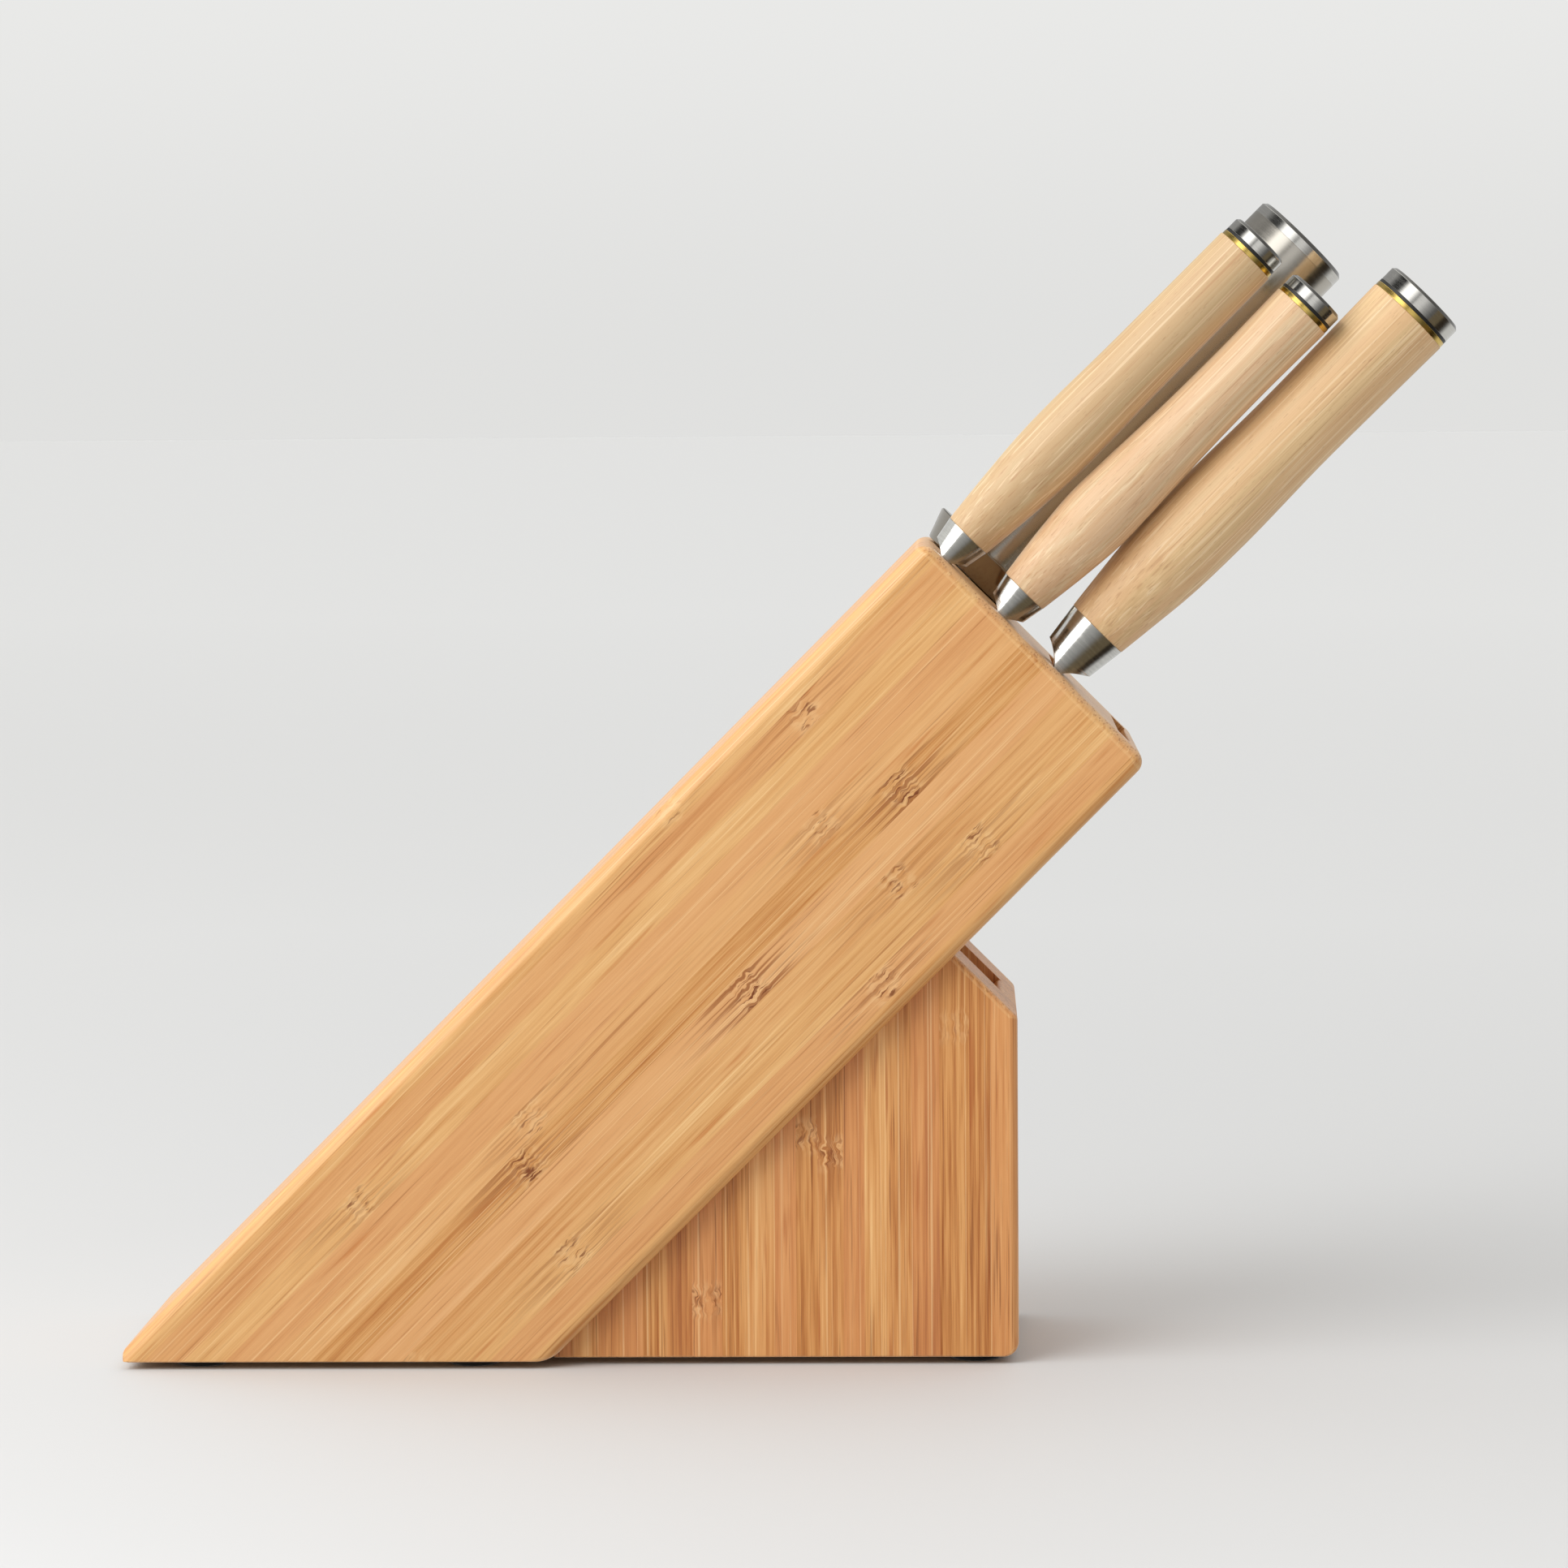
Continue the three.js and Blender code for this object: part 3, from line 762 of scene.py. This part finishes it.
def dull(name, colour, roughness):
    """Rubber or plastic with a fine moulded grain."""
    paint = surface(name)
    grain = paint.noise(paint.divided(paint.leaning(), [MOULDED_SIZE] * 3), 3.0, 0.6)
    paint.set("Base Color", paint.mix(paint.fade(grain, 0.4, 0.8), colour, scaled_colour(colour, 1.8)))
    paint.set("Roughness", paint.fade(grain, 0.3, 0.7, roughness - 0.08, roughness + 0.08))
    paint.bump(grain, 0.03, 0.5)
    return paint.owner


FRONT_BAMBOO = front_bamboo()
PANEL_BAMBOO = panel_bamboo()
BOARD_BAMBOO = board_bamboo()
PROP_BAMBOO = prop_bamboo()
WOODS = {
    "paring": handle_wood("paring", srgb(213, 191, 149), srgb(197, 160, 113), srgb(208, 170, 128), 1),
    "utility": handle_wood("utility", srgb(227, 204, 167), srgb(210, 169, 123), srgb(221, 178, 138), 2),
    "chef": handle_wood("chef", srgb(236, 204, 156), srgb(206, 168, 118), srgb(222, 178, 132), 3),
}
BOLSTER_STEEL = brushed("steel_bolster", srgb(206, 205, 200), 0.17, 0.22, 8.0, shade=0.88)
# The caps' chamfers get a painted dark reflection.
CAP_STEEL = brushed("steel_cap", srgb(212, 210, 204), 0.16, 0.22, 8.0, shade=0.9, edge=0.85)
SHELL_STEEL = brushed("steel_shell", srgb(192, 187, 177), 0.2, 0.2, 20.0, relief=0.0001, shade=0.96)
# The guard has the shell's steel painted darker: painted shade for where it stands low between the handles.
SHADED_GUARD_STEEL = brushed("steel_guard", srgb(152, 147, 138), 0.2, 0.2, 20.0, relief=0.0001, shade=0.96)
BLADE_STEEL = brushed("steel_blade", srgb(208, 208, 208), 0.2, 0.2, 40.0, relief=0.0008, shade=0.93)
ROD_STEEL = brushed("steel_rod_ribbed", srgb(190, 190, 190), 0.25, 0.3, 12.0)
BRASS = brushed("brass", srgb(226, 194, 108), 0.2, 0.2, 6.0)
BLACK = dull("black_spacer", srgb(26, 25, 25), 0.45)
RUBBER = dull("rubber", srgb(34, 33, 33), 0.8)

# ---- Main block ----

BLOCK_CORNERS = ((0, 0), (THICKNESS, THICKNESS), (THICKNESS, TOP), (0, TOP))
BLOCK_RADII = (TOE_RADIUS, HEEL_RADIUS, TOP_CORNER_RADIUS, TOP_CORNER_RADIUS)


def panels():
    near = extent("block_front_panel", "depth")
    far = extent("block_rear_panel", "depth")
    front = softened_plate(BLOCK_CORNERS, BLOCK_RADII, PANEL_FILLETS, near[1], near[0])
    rear = softened_plate(BLOCK_CORNERS, BLOCK_RADII, PANEL_FILLETS, far[0], far[1])
    build("front_panel", [front], FRONT_BAMBOO, "block", ["block_front_panel"])
    build("rear_panel", [rear], PANEL_BAMBOO, "block", ["block_rear_panel"])


def board(across, stations, outer=(0, 0, 0, 0)):
    """A board between two across values. stations holds a depth and the radii of its two top edges;
    outer has radii that its four corners keep at every depth."""
    left, right = across
    corners = ((left, left), (right, right), (right, TOP), (left, TOP))
    rings = []
    for depth, left_mouth, right_mouth in stations:
        mouths = (0, 0, right_mouth, left_mouth)
        radii = [keep or mouth for keep, mouth in zip(outer, mouths)]
        rings.append(on_depth(rounded(corners, radii), depth))
    return loft(rings)


def boards():
    far = extent("block_upper_wall", "depth")[1]
    short = extent("slot_1_filler", "depth")[0]

    def add(name, part, node):
        build(name, [part], BOARD_BAMBOO, "block", [node])

    def row(node, left_long=False, right_long=False, outer=(0, 0, 0, 0)):
        """Edges beside a full slot are soft to the back, and beside a short one as far as it goes."""
        low, high = extent(node, "depth")
        depths = [low] + [d for d in (short - MOUTH_RADIUS, short) if low < d < high] + [high]
        reach = short - MOUTH_RADIUS / 2
        mouths = []
        for long in (left_long, right_long):
            mouths.append([MOUTH_RADIUS if long or d < reach else MOUTH_FLUSH for d in depths])
        return board(extent(node, "across"), list(zip(depths, *mouths)), outer)

    upper = (TOE_RADIUS, 0, 0, TOP_CORNER_RADIUS)
    lower = (0, HEEL_RADIUS, TOP_CORNER_RADIUS, 0)
    simple = {
        "upper_wall": (False, False, upper),
        "partition_2": (False, True),
        "partition_3": (True, True),
        "lower_wall": (True, False, lower),
    }
    for name, edges in simple.items():
        add(name, row(f"block_{name}", *edges), f"block_{name}")
    strips = "block_partition_1_front block_partition_1_rear steel_channel_upper steel_channel_lower"
    for node in strips.split():
        add(node.replace("block_", "") + "_strip", row(node), node)
    gaps = {
        "slot_1_filler": ("block_upper_wall", "block_partition_1_front"),
        "slot_2_filler": ("block_partition_1_front", "block_partition_2"),
    }
    for node, (left, right) in gaps.items():
        across = extent(left, "across")[1], extent(right, "across")[0]
        part = board(across, [(short, 0, 0), (far, 0, 0)])
        add(node.replace("filler", "strip"), part, node)


# ---- Prop block ----


def prop_block():
    low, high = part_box("prop_front_board")
    top = extent("prop_front_board", "along")[1]
    foot = upright(high.x, low.z)
    # The upright side x = high.x meets the slope along = top.
    lift = (top - foot[1]) * MM / ALONG.z
    shoulder = upright(high.x, low.z + lift)
    corners = ((THICKNESS, THICKNESS), foot, shoulder, (THICKNESS, top))
    near, middle, far = (extent(f"prop_{n}_board", "depth") for n in ("front", "middle", "rear"))
    front = softened_plate(corners, PROP_CORNERS, PROP_FILLETS, near[1], near[0])
    rear = softened_plate(corners, PROP_CORNERS, PROP_FILLETS, far[0], far[1])
    floor_of_pocket, wall_of_pocket = pocket_reach()
    notch = ((wall_of_pocket, top), (wall_of_pocket, floor_of_pocket), (THICKNESS, floor_of_pocket))
    radii = (*PROP_CORNERS[:3], POCKET_ROUND, POCKET_ROUND, 0)
    outline = rounded((*corners[:3], *notch), radii)
    pocket_board = loft([on_depth(outline, depth) for depth in middle])
    for name, part in (("front", front), ("middle", pocket_board), ("rear", rear)):
        build(f"prop_{name}", [part], PROP_BAMBOO, "block", [f"prop_{name}_board"])


def pocket_reach(tolerance=0.1):
    """How low the shears' pocket goes along the slots, and how far across."""
    mesh = frame["nodes"]["prop_middle_board"].data
    points = [v.co - ORIGIN for v in mesh.vertices]
    top = extent("prop_middle_board", "along")[1]
    lip = min(p.dot(ACROSS) for p in points if abs(p.dot(ALONG) / MM - top) < tolerance) / MM
    floor = max(p.dot(ALONG) for p in points if p.dot(ACROSS) / MM < THICKNESS + 1) / MM
    return floor, lip


def feet():
    for side in ("toe", "heel", "prop"):
        for row in ("front", "rear"):
            node = f"foot_{side}_{row}"
            low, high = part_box(node)
            centre, radius = (low + high) / 2, (high.x - low.x) / 2 / MM
            tall = (high.z - low.z) / MM
            inner, outer = (radius - width for width in PAD_RIM)
            hollow = [(HUB, PAD_HOLLOW), (inner, PAD_HOLLOW), (outer, 0)]
            profile = softened([*hollow, (radius, 0), (radius, tall), (HUB, tall)], PAD_ROUNDS)
            turn = np.linspace(0, 2 * math.pi, PAD_STEPS, endpoint=False)
            rings = []
            for r, h in profile:
                x, y = centre.x + r * MM * np.cos(turn), centre.y + r * MM * np.sin(turn)
                world = np.column_stack((x, y, np.full(PAD_STEPS, low.z + h * MM)))
                rings.append((world - np.array(ORIGIN)) @ TO_WORLD.T / MM)
            build(f"pad_{side}_{row}", [loft(rings)], RUBBER, "block", [node])


# ---- Knives ----


def smooth_profile(stations, count):
    """A smooth curve through (place, value) stations, as count pairs."""
    place, value = (np.array(v, float) for v in zip(*stations))
    slope = np.gradient(value, place)
    at = np.linspace(place[0], place[-1], count)
    k = np.clip(np.searchsorted(place, at, side="right") - 1, 0, len(place) - 2)
    gap = place[k + 1] - place[k]
    s = (at - place[k]) / gap
    curve = (
        (2 * s**3 - 3 * s**2 + 1) * value[k]
        + (s**3 - 2 * s**2 + s) * gap * slope[k]
        + (3 * s**2 - 2 * s**3) * value[k + 1]
        + (s**3 - s**2) * gap * slope[k + 1]
    )
    return list(zip(at, curve))


def axis_of(node):
    """Across and depth of a turned piece's axis."""
    return sum(extent(node, "across")) / 2, sum(extent(node, "depth")) / 2


def radius_of(node):
    low, high = extent(node, "across")
    return (high - low) / 2


def heights(node):
    """Its lowest and highest point over the block's top face."""
    low, high = extent(node, "along")
    return low - TOP, high - TOP


def between(lower, upper):
    """The middle of the glue gap between two stacked pieces."""
    return (heights(lower)[1] + heights(upper)[0]) / 2


def wooden_handle(axis, belly, low, high):
    """The wood, bevelled at both ends and bored for the tang."""
    stations = [(low + share * (high - low), radius) for share, radius in belly]
    skin = [(r, h) for h, r in smooth_profile(stations, WOOD_STEPS)]
    first, last = skin[0][0], skin[-1][0]
    skin[:1] = [(first - WOOD_EDGE, low), (first, low + WOOD_EDGE)]
    skin[-1:] = [(last, high - WOOD_EDGE), (last - WOOD_EDGE, high)]
    bore_top = high - TANG_SPARE
    bore = [(HUB, high), (HUB, bore_top), (TANG_BORE, bore_top), (TANG_BORE, low)]
    return turned(axis, [*skin, *bore], closed=True)


def clipped_ring(axis, wide, deep, half, height):
    """An oval section, wide across and deep, cut flat on both sides at half."""
    half = min(half, wide)
    reach = math.asin(half / wide)
    flat = deep * math.cos(reach)
    sweep = np.linspace(-reach, reach, SWEEP_STEPS)
    side = np.linspace(-flat, flat, SIDE_STEPS + 2)[1:-1]
    front = np.column_stack((wide * np.sin(sweep), -deep * np.cos(sweep)))
    right = np.column_stack((np.full(SIDE_STEPS, half), side))
    ring = np.vstack((front, right, -front, -right)) + np.array(axis)
    return np.column_stack((ring, np.full(len(ring), TOP + height)))


def bolster(axis, waist, top_radius, top):
    """Round under the wood, and scooped on both sides down to a thin neck that enters the slot."""
    waist_height, waist_radius = waist
    slope = (top_radius - waist_radius) / (top - waist_height)
    rings = [clipped_ring(axis, r, r, r, top) for r in (TANG_BORE, top_radius - BOLSTER_RIM)]
    for height in np.linspace(top - BOLSTER_RIM, waist_height, ROUND_RINGS):
        wide = top_radius - slope * (top - height)
        rings.append(clipped_ring(axis, wide, top_radius, wide, height))
    fall = waist_height + NECK_DROP
    for share in np.linspace(0, 1, SCOOP_RINGS)[1:]:
        height = waist_height - fall * share
        half = NECK_HALF + (waist_radius - NECK_HALF) * (1 - share) ** SCOOP_POWER
        rings.append(clipped_ring(axis, top_radius - slope * (top - height), top_radius, half, height))
    return loft(rings)


def curve_points(start, control, end):
    s = np.linspace(0, 1, CURVE_STEPS)[:, None]
    start, control, end = (np.array(p, float) for p in (start, control, end))
    return (1 - s) ** 2 * start + 2 * s * (1 - s) * control + s**2 * end


def blade_edges(blade, neck):
    """Depth of the spine and of the edge, as functions of the height over the top face."""
    heel, length = -blade["drop"], blade["length"]
    tip = heel - length
    spine, edge = -blade["spine"], blade["edge"]
    point = edge - POINT_SHARE * (edge - spine)

    def towards_point(side, start, bend_at):
        """The side's last stretch. It starts and bends at shares of the blade's length."""
        return curve_points((heel - start * length, side), (heel - bend_at * length, side), (tip, point))

    back = np.vstack((
        [(-NECK_DROP, -neck)],
        curve_points((-NECK_DROP - 0.2, -neck), (heel, 0.9 * spine), (heel - 6, spine)),
        towards_point(spine, 0.5, 0.85),
    ))
    front = np.vstack((
        [(-NECK_DROP, neck), (heel + 0.02, neck + 0.3)],
        curve_points((heel, neck + 0.4), (heel - 0.5, edge), (heel - 1.5, edge)),
        towards_point(edge, 0.3, 0.75),
    ))
    lines = [lambda h, line=line: np.interp(-h, -line[:, 0], line[:, 1]) for line in (back, front)]
    return lines, heel, tip


def blade_part(axis, blade, neck):
    """A ground blade: thickest at the spine, flat sides and a narrow bevel at the edge."""
    (back, front), heel, tip = blade_edges(blade, neck)
    rings = []
    upper = [-NECK_DROP, -NECK_DROP - 0.5]
    shoulder = np.linspace(heel, heel - 2.0, 8)
    body = np.linspace(heel - 4, tip + TIP_RUN, 30)
    end = tip + TIP_RUN * (1 - np.linspace(0.1, 1, 12) ** 0.7)
    for height in sorted({*map(float, (*upper, *shoulder, *body, *end))}, reverse=True):
        low, high = float(back(height)), float(front(height))
        high = max(high, low + LEAST_WIDTH)
        run = max(0.0, (heel - height) / blade["length"])
        thick = NECK_HALF * (1 - THINNING * run)
        ground = min(1.0, max(0.0, (-NECK_DROP - height) / GROUND_RUN))
        thin = thick * (1 - ground) + EDGE_HALF * ground
        bevel = high - BEVEL_SHARE * (high - low)
        at_bevel = min(thick, thin + BEVEL_HALF * ground * (1 - run))
        half = [(low, SPINE_EASE * thick), (low + SPINE_ROUND, thick), (bevel, at_bevel), (high, thin)]
        loop = [(a, d) for d, a in half] + [(-a, d) for d, a in reversed(half)]
        rings.append(np.array([(axis[0] + a, axis[1] + d, TOP + height) for a, d in loop]))
    return loft(rings)


def tang(axis, top):
    thick, wide = TANG_HALF
    loop = ((-thick, -wide), (thick, -wide), (thick, wide), (-thick, wide))
    rings = [np.array([(axis[0] + a, axis[1] + d, TOP + h) for a, d in loop]) for h in (-NECK_DROP, top)]
    return loft(rings)


def chamfered_cap(axis, radius, low, high, chamfer):
    """A round cap whose far edge has a chamfer with softened rims."""
    rim = [(radius, high - chamfer), (radius - chamfer, high)]
    rounds = (0, BASE_EDGE, CHAMFER_ROUND, CHAMFER_ROUND, 0)
    return turned(axis, softened([(HUB, low), (radius, low), *rim, (HUB, high)], rounds))


def knife(name):
    spec = KNIVES[name]
    body = f"{name}_knife"
    part = {p: f"{name}_{p}" for p in "blade bolster handle brass_ring black_ring end_cap".split()}
    axis = axis_of(part["handle"])
    junction = heights(part["bolster"])[1]
    wood_end = between(part["handle"], part["brass_ring"])
    brass_end = between(part["brass_ring"], part["black_ring"])
    black_end = between(part["black_ring"], part["end_cap"])
    tail = heights(part["end_cap"])[1]
    radius = radius_of(part["end_cap"])
    neck = spec["belly"][0][1]

    def add(key, meshes, material, slot, crease=SMOOTH_ANGLE):
        build(f"{body}_{key}", meshes, material, body, [part[key]], crease)

    def disc(radius, low, high, rounding):
        profile = [(HUB, low), (radius, low), (radius, high), (HUB, high)]
        return turned(axis, softened(profile, (0, BASE_EDGE, rounding, 0)))

    blade = blade_part(axis, spec["blade"], neck - NECK_SHY)
    add("blade", [blade, tang(axis, wood_end - TANG_SPARE - TANG_CLEAR)], BLADE_STEEL, "blade_steel")
    shaped = bolster(axis, spec["waist"], neck, junction)
    add("bolster", [shaped], BOLSTER_STEEL, "bolster_steel", CRISP_ANGLE)
    add("handle", [wooden_handle(axis, spec["belly"], junction, wood_end)], WOODS[name], "handle_wood")
    add("brass_ring", [disc(radius + BRASS_PROUD, wood_end, brass_end, BRASS_EDGE)], BRASS, "brass")
    add("black_ring", [disc(radius, brass_end, black_end, SPACER_EDGE)], BLACK, "black_spacer")
    add("end_cap", [chamfered_cap(axis, radius, black_end, tail, CAP_CHAMFER)], CAP_STEEL, "cap_steel")


# ---- Honing steel ----


def honing_steel():
    axis = axis_of("steel_handle_tube")

    def add(name, part, material, node, slot):
        build(name, [part], material, "honing_steel", [node])

    low = heights("steel_guard")[0]
    tube_low = between("steel_guard", "steel_handle_tube")
    tube_high = between("steel_handle_tube", "steel_end_cap")
    flare = radius_of("steel_guard")
    guard = [(GUARD_BORE, low), (GUARD_FOOT, low), (flare, tube_low), (GUARD_BORE, tube_low)]
    guard = softened([*guard, guard[0]], GUARD_ROUNDS)[:-1]
    # The guard takes the darker steel, which is painted shade.
    add("guard", turned(axis, guard, closed=True), SHADED_GUARD_STEEL, "steel_guard", "shell_steel")
    radius = radius_of("steel_handle_tube")
    bore = radius - TUBE_WALL
    tube = [(bore, tube_low), (radius, tube_low), (radius, tube_high), (bore, tube_high)]
    add("handle_tube", turned(axis, tube, closed=True), SHELL_STEEL, "steel_handle_tube", "shell_steel")
    cap = chamfered_cap(axis, radius, tube_high, heights("steel_end_cap")[1], STEEL_CHAMFER)
    add("steel_cap", cap, CAP_STEEL, "steel_end_cap", "shell_steel")
    add("sharpening_rod", ribbed_rod(axis), ROD_STEEL, "steel_rod", "rod_steel")


def ribbed_rod(axis):
    radius = radius_of("steel_rod")
    low, high = heights("steel_rod")
    ribs = np.where(np.arange(ROD_STEPS) % 2, 1.0, ROD_GROOVE)[:, None]
    rings = []
    for r, h in ((radius - ROD_BEVEL, low), (radius, low + ROD_BEVEL), (radius, high)):
        ring = circle((0, 0), r, h, ROD_STEPS)
        ring[:, :2] = ring[:, :2] * ribs + np.array(axis)
        rings.append(ring)
    return loft(rings)


# ---- Camera, light and floor ----

EYE = (0.04636, -1.58816, 0.2706)
YAW, PITCH, ROLL = 0.0305, 0.0704, -0.0071
LENS = 129.07
KEY = {"towards": (-0.606, -0.515, 0.606), "distance": 1.5, "size": 1.35, "power": 19}
CAP_PIECES = [*(f"{name}_knife_end_cap" for name in KNIVES), "steel_cap"]
# A curved screen round the end caps that only reflections show. Its levels go by the bearing in degrees,
# from behind the caps on their upper left to the viewer.
SCREEN = {"radius": 0.3, "length": 0.14, "from": 170, "to": -46, "steps": 60}
SCREEN_LEVELS = (
    (170, 0.35), (112, 0.35), (98, 0.12), (90, 0.02), (70, 0.02), (62, 0.5), (54, 1.9),
    (30, 1.9), (20, 0.7), (14, 0.3), (9, 0.9), (-6, 0.9), (-20, 0.45), (-40, 0.12),
)
FRONT_LEVELS = (0.56, 0.28)  # the studio's brightness before the object, on the left and the right
BACK_LEVEL = 0.75
TOP_GAIN, BACK_GAIN = 0.45, 0.07  # what the top adds, and what the backdrop adds over the horizon
BLUE_SHARE = 0.985
NEAR_BROWN, FAR_BROWN = srgb(112, 100, 78), srgb(52, 45, 36)
FLOOR_HALF = 30  # metres from the middle to each side
FLOOR_FADE = 6.0  # metres from the object over which the floor's tone changes
# The floor's tone by distance, as shares of FLOOR_FADE: painted paler far off to make up for the light
# falling off away from the softbox.
FLOOR_TONES = (
    (0.05, 0.62), (0.13, 0.69), (0.21, 0.76), (0.29, 0.79), (0.41, 0.82), (0.58, 0.85), (0.85, 0.88),
)


def camera():
    data = bpy.data.cameras.new("camera")
    data.lens = LENS
    data.clip_end = 100
    eye = add_object("camera", data)
    lift = Matrix.Rotation(math.pi / 2 - PITCH, 4, "X")
    turn = Matrix.Rotation(YAW, 4, "Z") @ lift @ Matrix.Rotation(ROLL, 4, "Z")
    eye.matrix_world = Matrix.Translation(EYE) @ turn
    bpy.context.scene.camera = eye


def softbox(name, towards, distance, size, power, aim=(0, 0, 0.16)):
    data = bpy.data.lights.new(name, "AREA")
    data.shape = "RECTANGLE"
    data.size = data.size_y = size
    data.energy = power
    lamp = add_object(name, data)
    direction = Vector(towards).normalized()
    lamp.location = Vector(aim) + direction * distance
    lamp.rotation_mode = "QUATERNION"
    lamp.rotation_quaternion = direction.to_track_quat("Z", "Y")
    lamp.visible_camera = False
    return lamp


def leave_out(lamp, pieces):
    """Pieces that a light leaves out, because they reflect the screen instead."""
    group = bpy.data.collections.new("left_out")
    for piece in pieces:
        group.objects.link(piece)
    lamp.light_linking.receiver_collection = group
    for entry in group.collection_objects:
        entry.light_linking.link_state = "EXCLUDE"


def screen():
    """Bright and dark bands for the sides of the end caps."""
    low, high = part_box("utility_end_cap")
    middle = (low + high) / 2
    bearings = np.radians(np.linspace(SCREEN["from"], SCREEN["to"], SCREEN["steps"]))
    rim = [middle - (DEPTH * math.cos(b) + ACROSS * math.sin(b)) * SCREEN["radius"] for b in bearings]
    half = ALONG * SCREEN["length"] / 2
    points = [point + side for point in rim for side in (-half, half)]
    faces = [(2 * i, 2 * i + 1, 2 * i + 3, 2 * i + 2) for i in range(len(rim) - 1)]
    mesh = bpy.data.meshes.new("reflection_screen")
    mesh.from_pydata(points, [], faces)
    paint = surface("reflection_screen")
    place = paint.vector("SUBTRACT", paint.coordinate(), tuple(middle))
    sideways, ahead = (paint.vector("DOT_PRODUCT", place, tuple(-axis)) for axis in (ACROSS, DEPTH))
    bearing = paint.math("ARCTAN2", sideways, ahead)
    first, last = SCREEN["to"], SCREEN["from"]
    share = paint.node("MapRange", {0: bearing, 1: math.radians(first), 2: math.radians(last)})
    stops = [((degrees - first) / (last - first), grey(level)) for degrees, level in reversed(SCREEN_LEVELS)]
    paint.set("Base Color", grey(0.0))
    paint.set("Specular IOR Level", 0.0)
    paint.set("Emission Color", paint.ramp(share.outputs[0], stops))
    paint.set("Emission Strength", 1.0)
    paint.owner.cycles.emission_sampling = "NONE"
    mesh.materials.append(paint.owner)
    piece = add_object("reflection_screen", mesh)
    piece.visible_camera = piece.visible_diffuse = piece.visible_transmission = piece.visible_shadow = False


def surroundings():
    """A pale studio. Below the horizon it is dark and seen only in reflections, which skip the floor."""
    world = bpy.data.worlds.new("studio")
    bpy.context.scene.world = world
    paint = Paint(world, "Background")
    x, y, z = paint.node("SeparateXYZ", {0: paint.coordinate("Generated")}).outputs
    behind = paint.fade(y, -0.1, 0.35)
    below = paint.times(paint.fade(z, -0.12, -0.45), paint.minus(1.0, behind))
    front = paint.fade(x, -0.45, 0.35, *FRONT_LEVELS)
    level = paint.math("MULTIPLY_ADD", paint.minus(BACK_LEVEL, front), behind, front)
    level = paint.math("ADD", level, paint.fade(z, 0.3, 0.95, 0.0, TOP_GAIN))
    level = paint.math("ADD", level, paint.times(paint.fade(z, 0.0, 0.08, 0.0, BACK_GAIN), behind))
    pale = paint.join(level, level, paint.times(level, BLUE_SHARE))
    brown = paint.mix(paint.fade(y, -0.42, -0.30), NEAR_BROWN, FAR_BROWN)
    paint.set("Color", paint.mix(below, pale, brown))


def floor():
    """Its far part is painted paler, and its near part darker, making up for the softbox's light falling off
    with distance, so that it meets the backdrop without a line.
    """
    paint = surface("floor")
    away = paint.math("DIVIDE", paint.vector("LENGTH", paint.coordinate()), FLOOR_FADE)
    paint.set("Base Color", paint.ramp(away, [(share, grey(value)) for share, value in FLOOR_TONES]))
    paint.set("Roughness", 0.7)
    mesh = bpy.data.meshes.new("floor")
    corners = [(x * FLOOR_HALF, y * FLOOR_HALF, 0) for x, y in ((-1, -1), (1, -1), (1, 1), (-1, 1))]
    mesh.from_pydata(corners, [], [(0, 1, 2, 3)])
    mesh.materials.append(paint.owner)
    ground = add_object("floor", mesh)
    ground.visible_glossy = False


panels()
boards()
prop_block()
feet()
for knife_name in KNIVES:
    knife(knife_name)
honing_steel()
camera()
lamp = softbox("key", **KEY)
leave_out(lamp, [bpy.data.objects[name] for name in CAP_PIECES])
screen()
surroundings()
floor()
bpy.context.scene.view_settings.view_transform = "Standard"
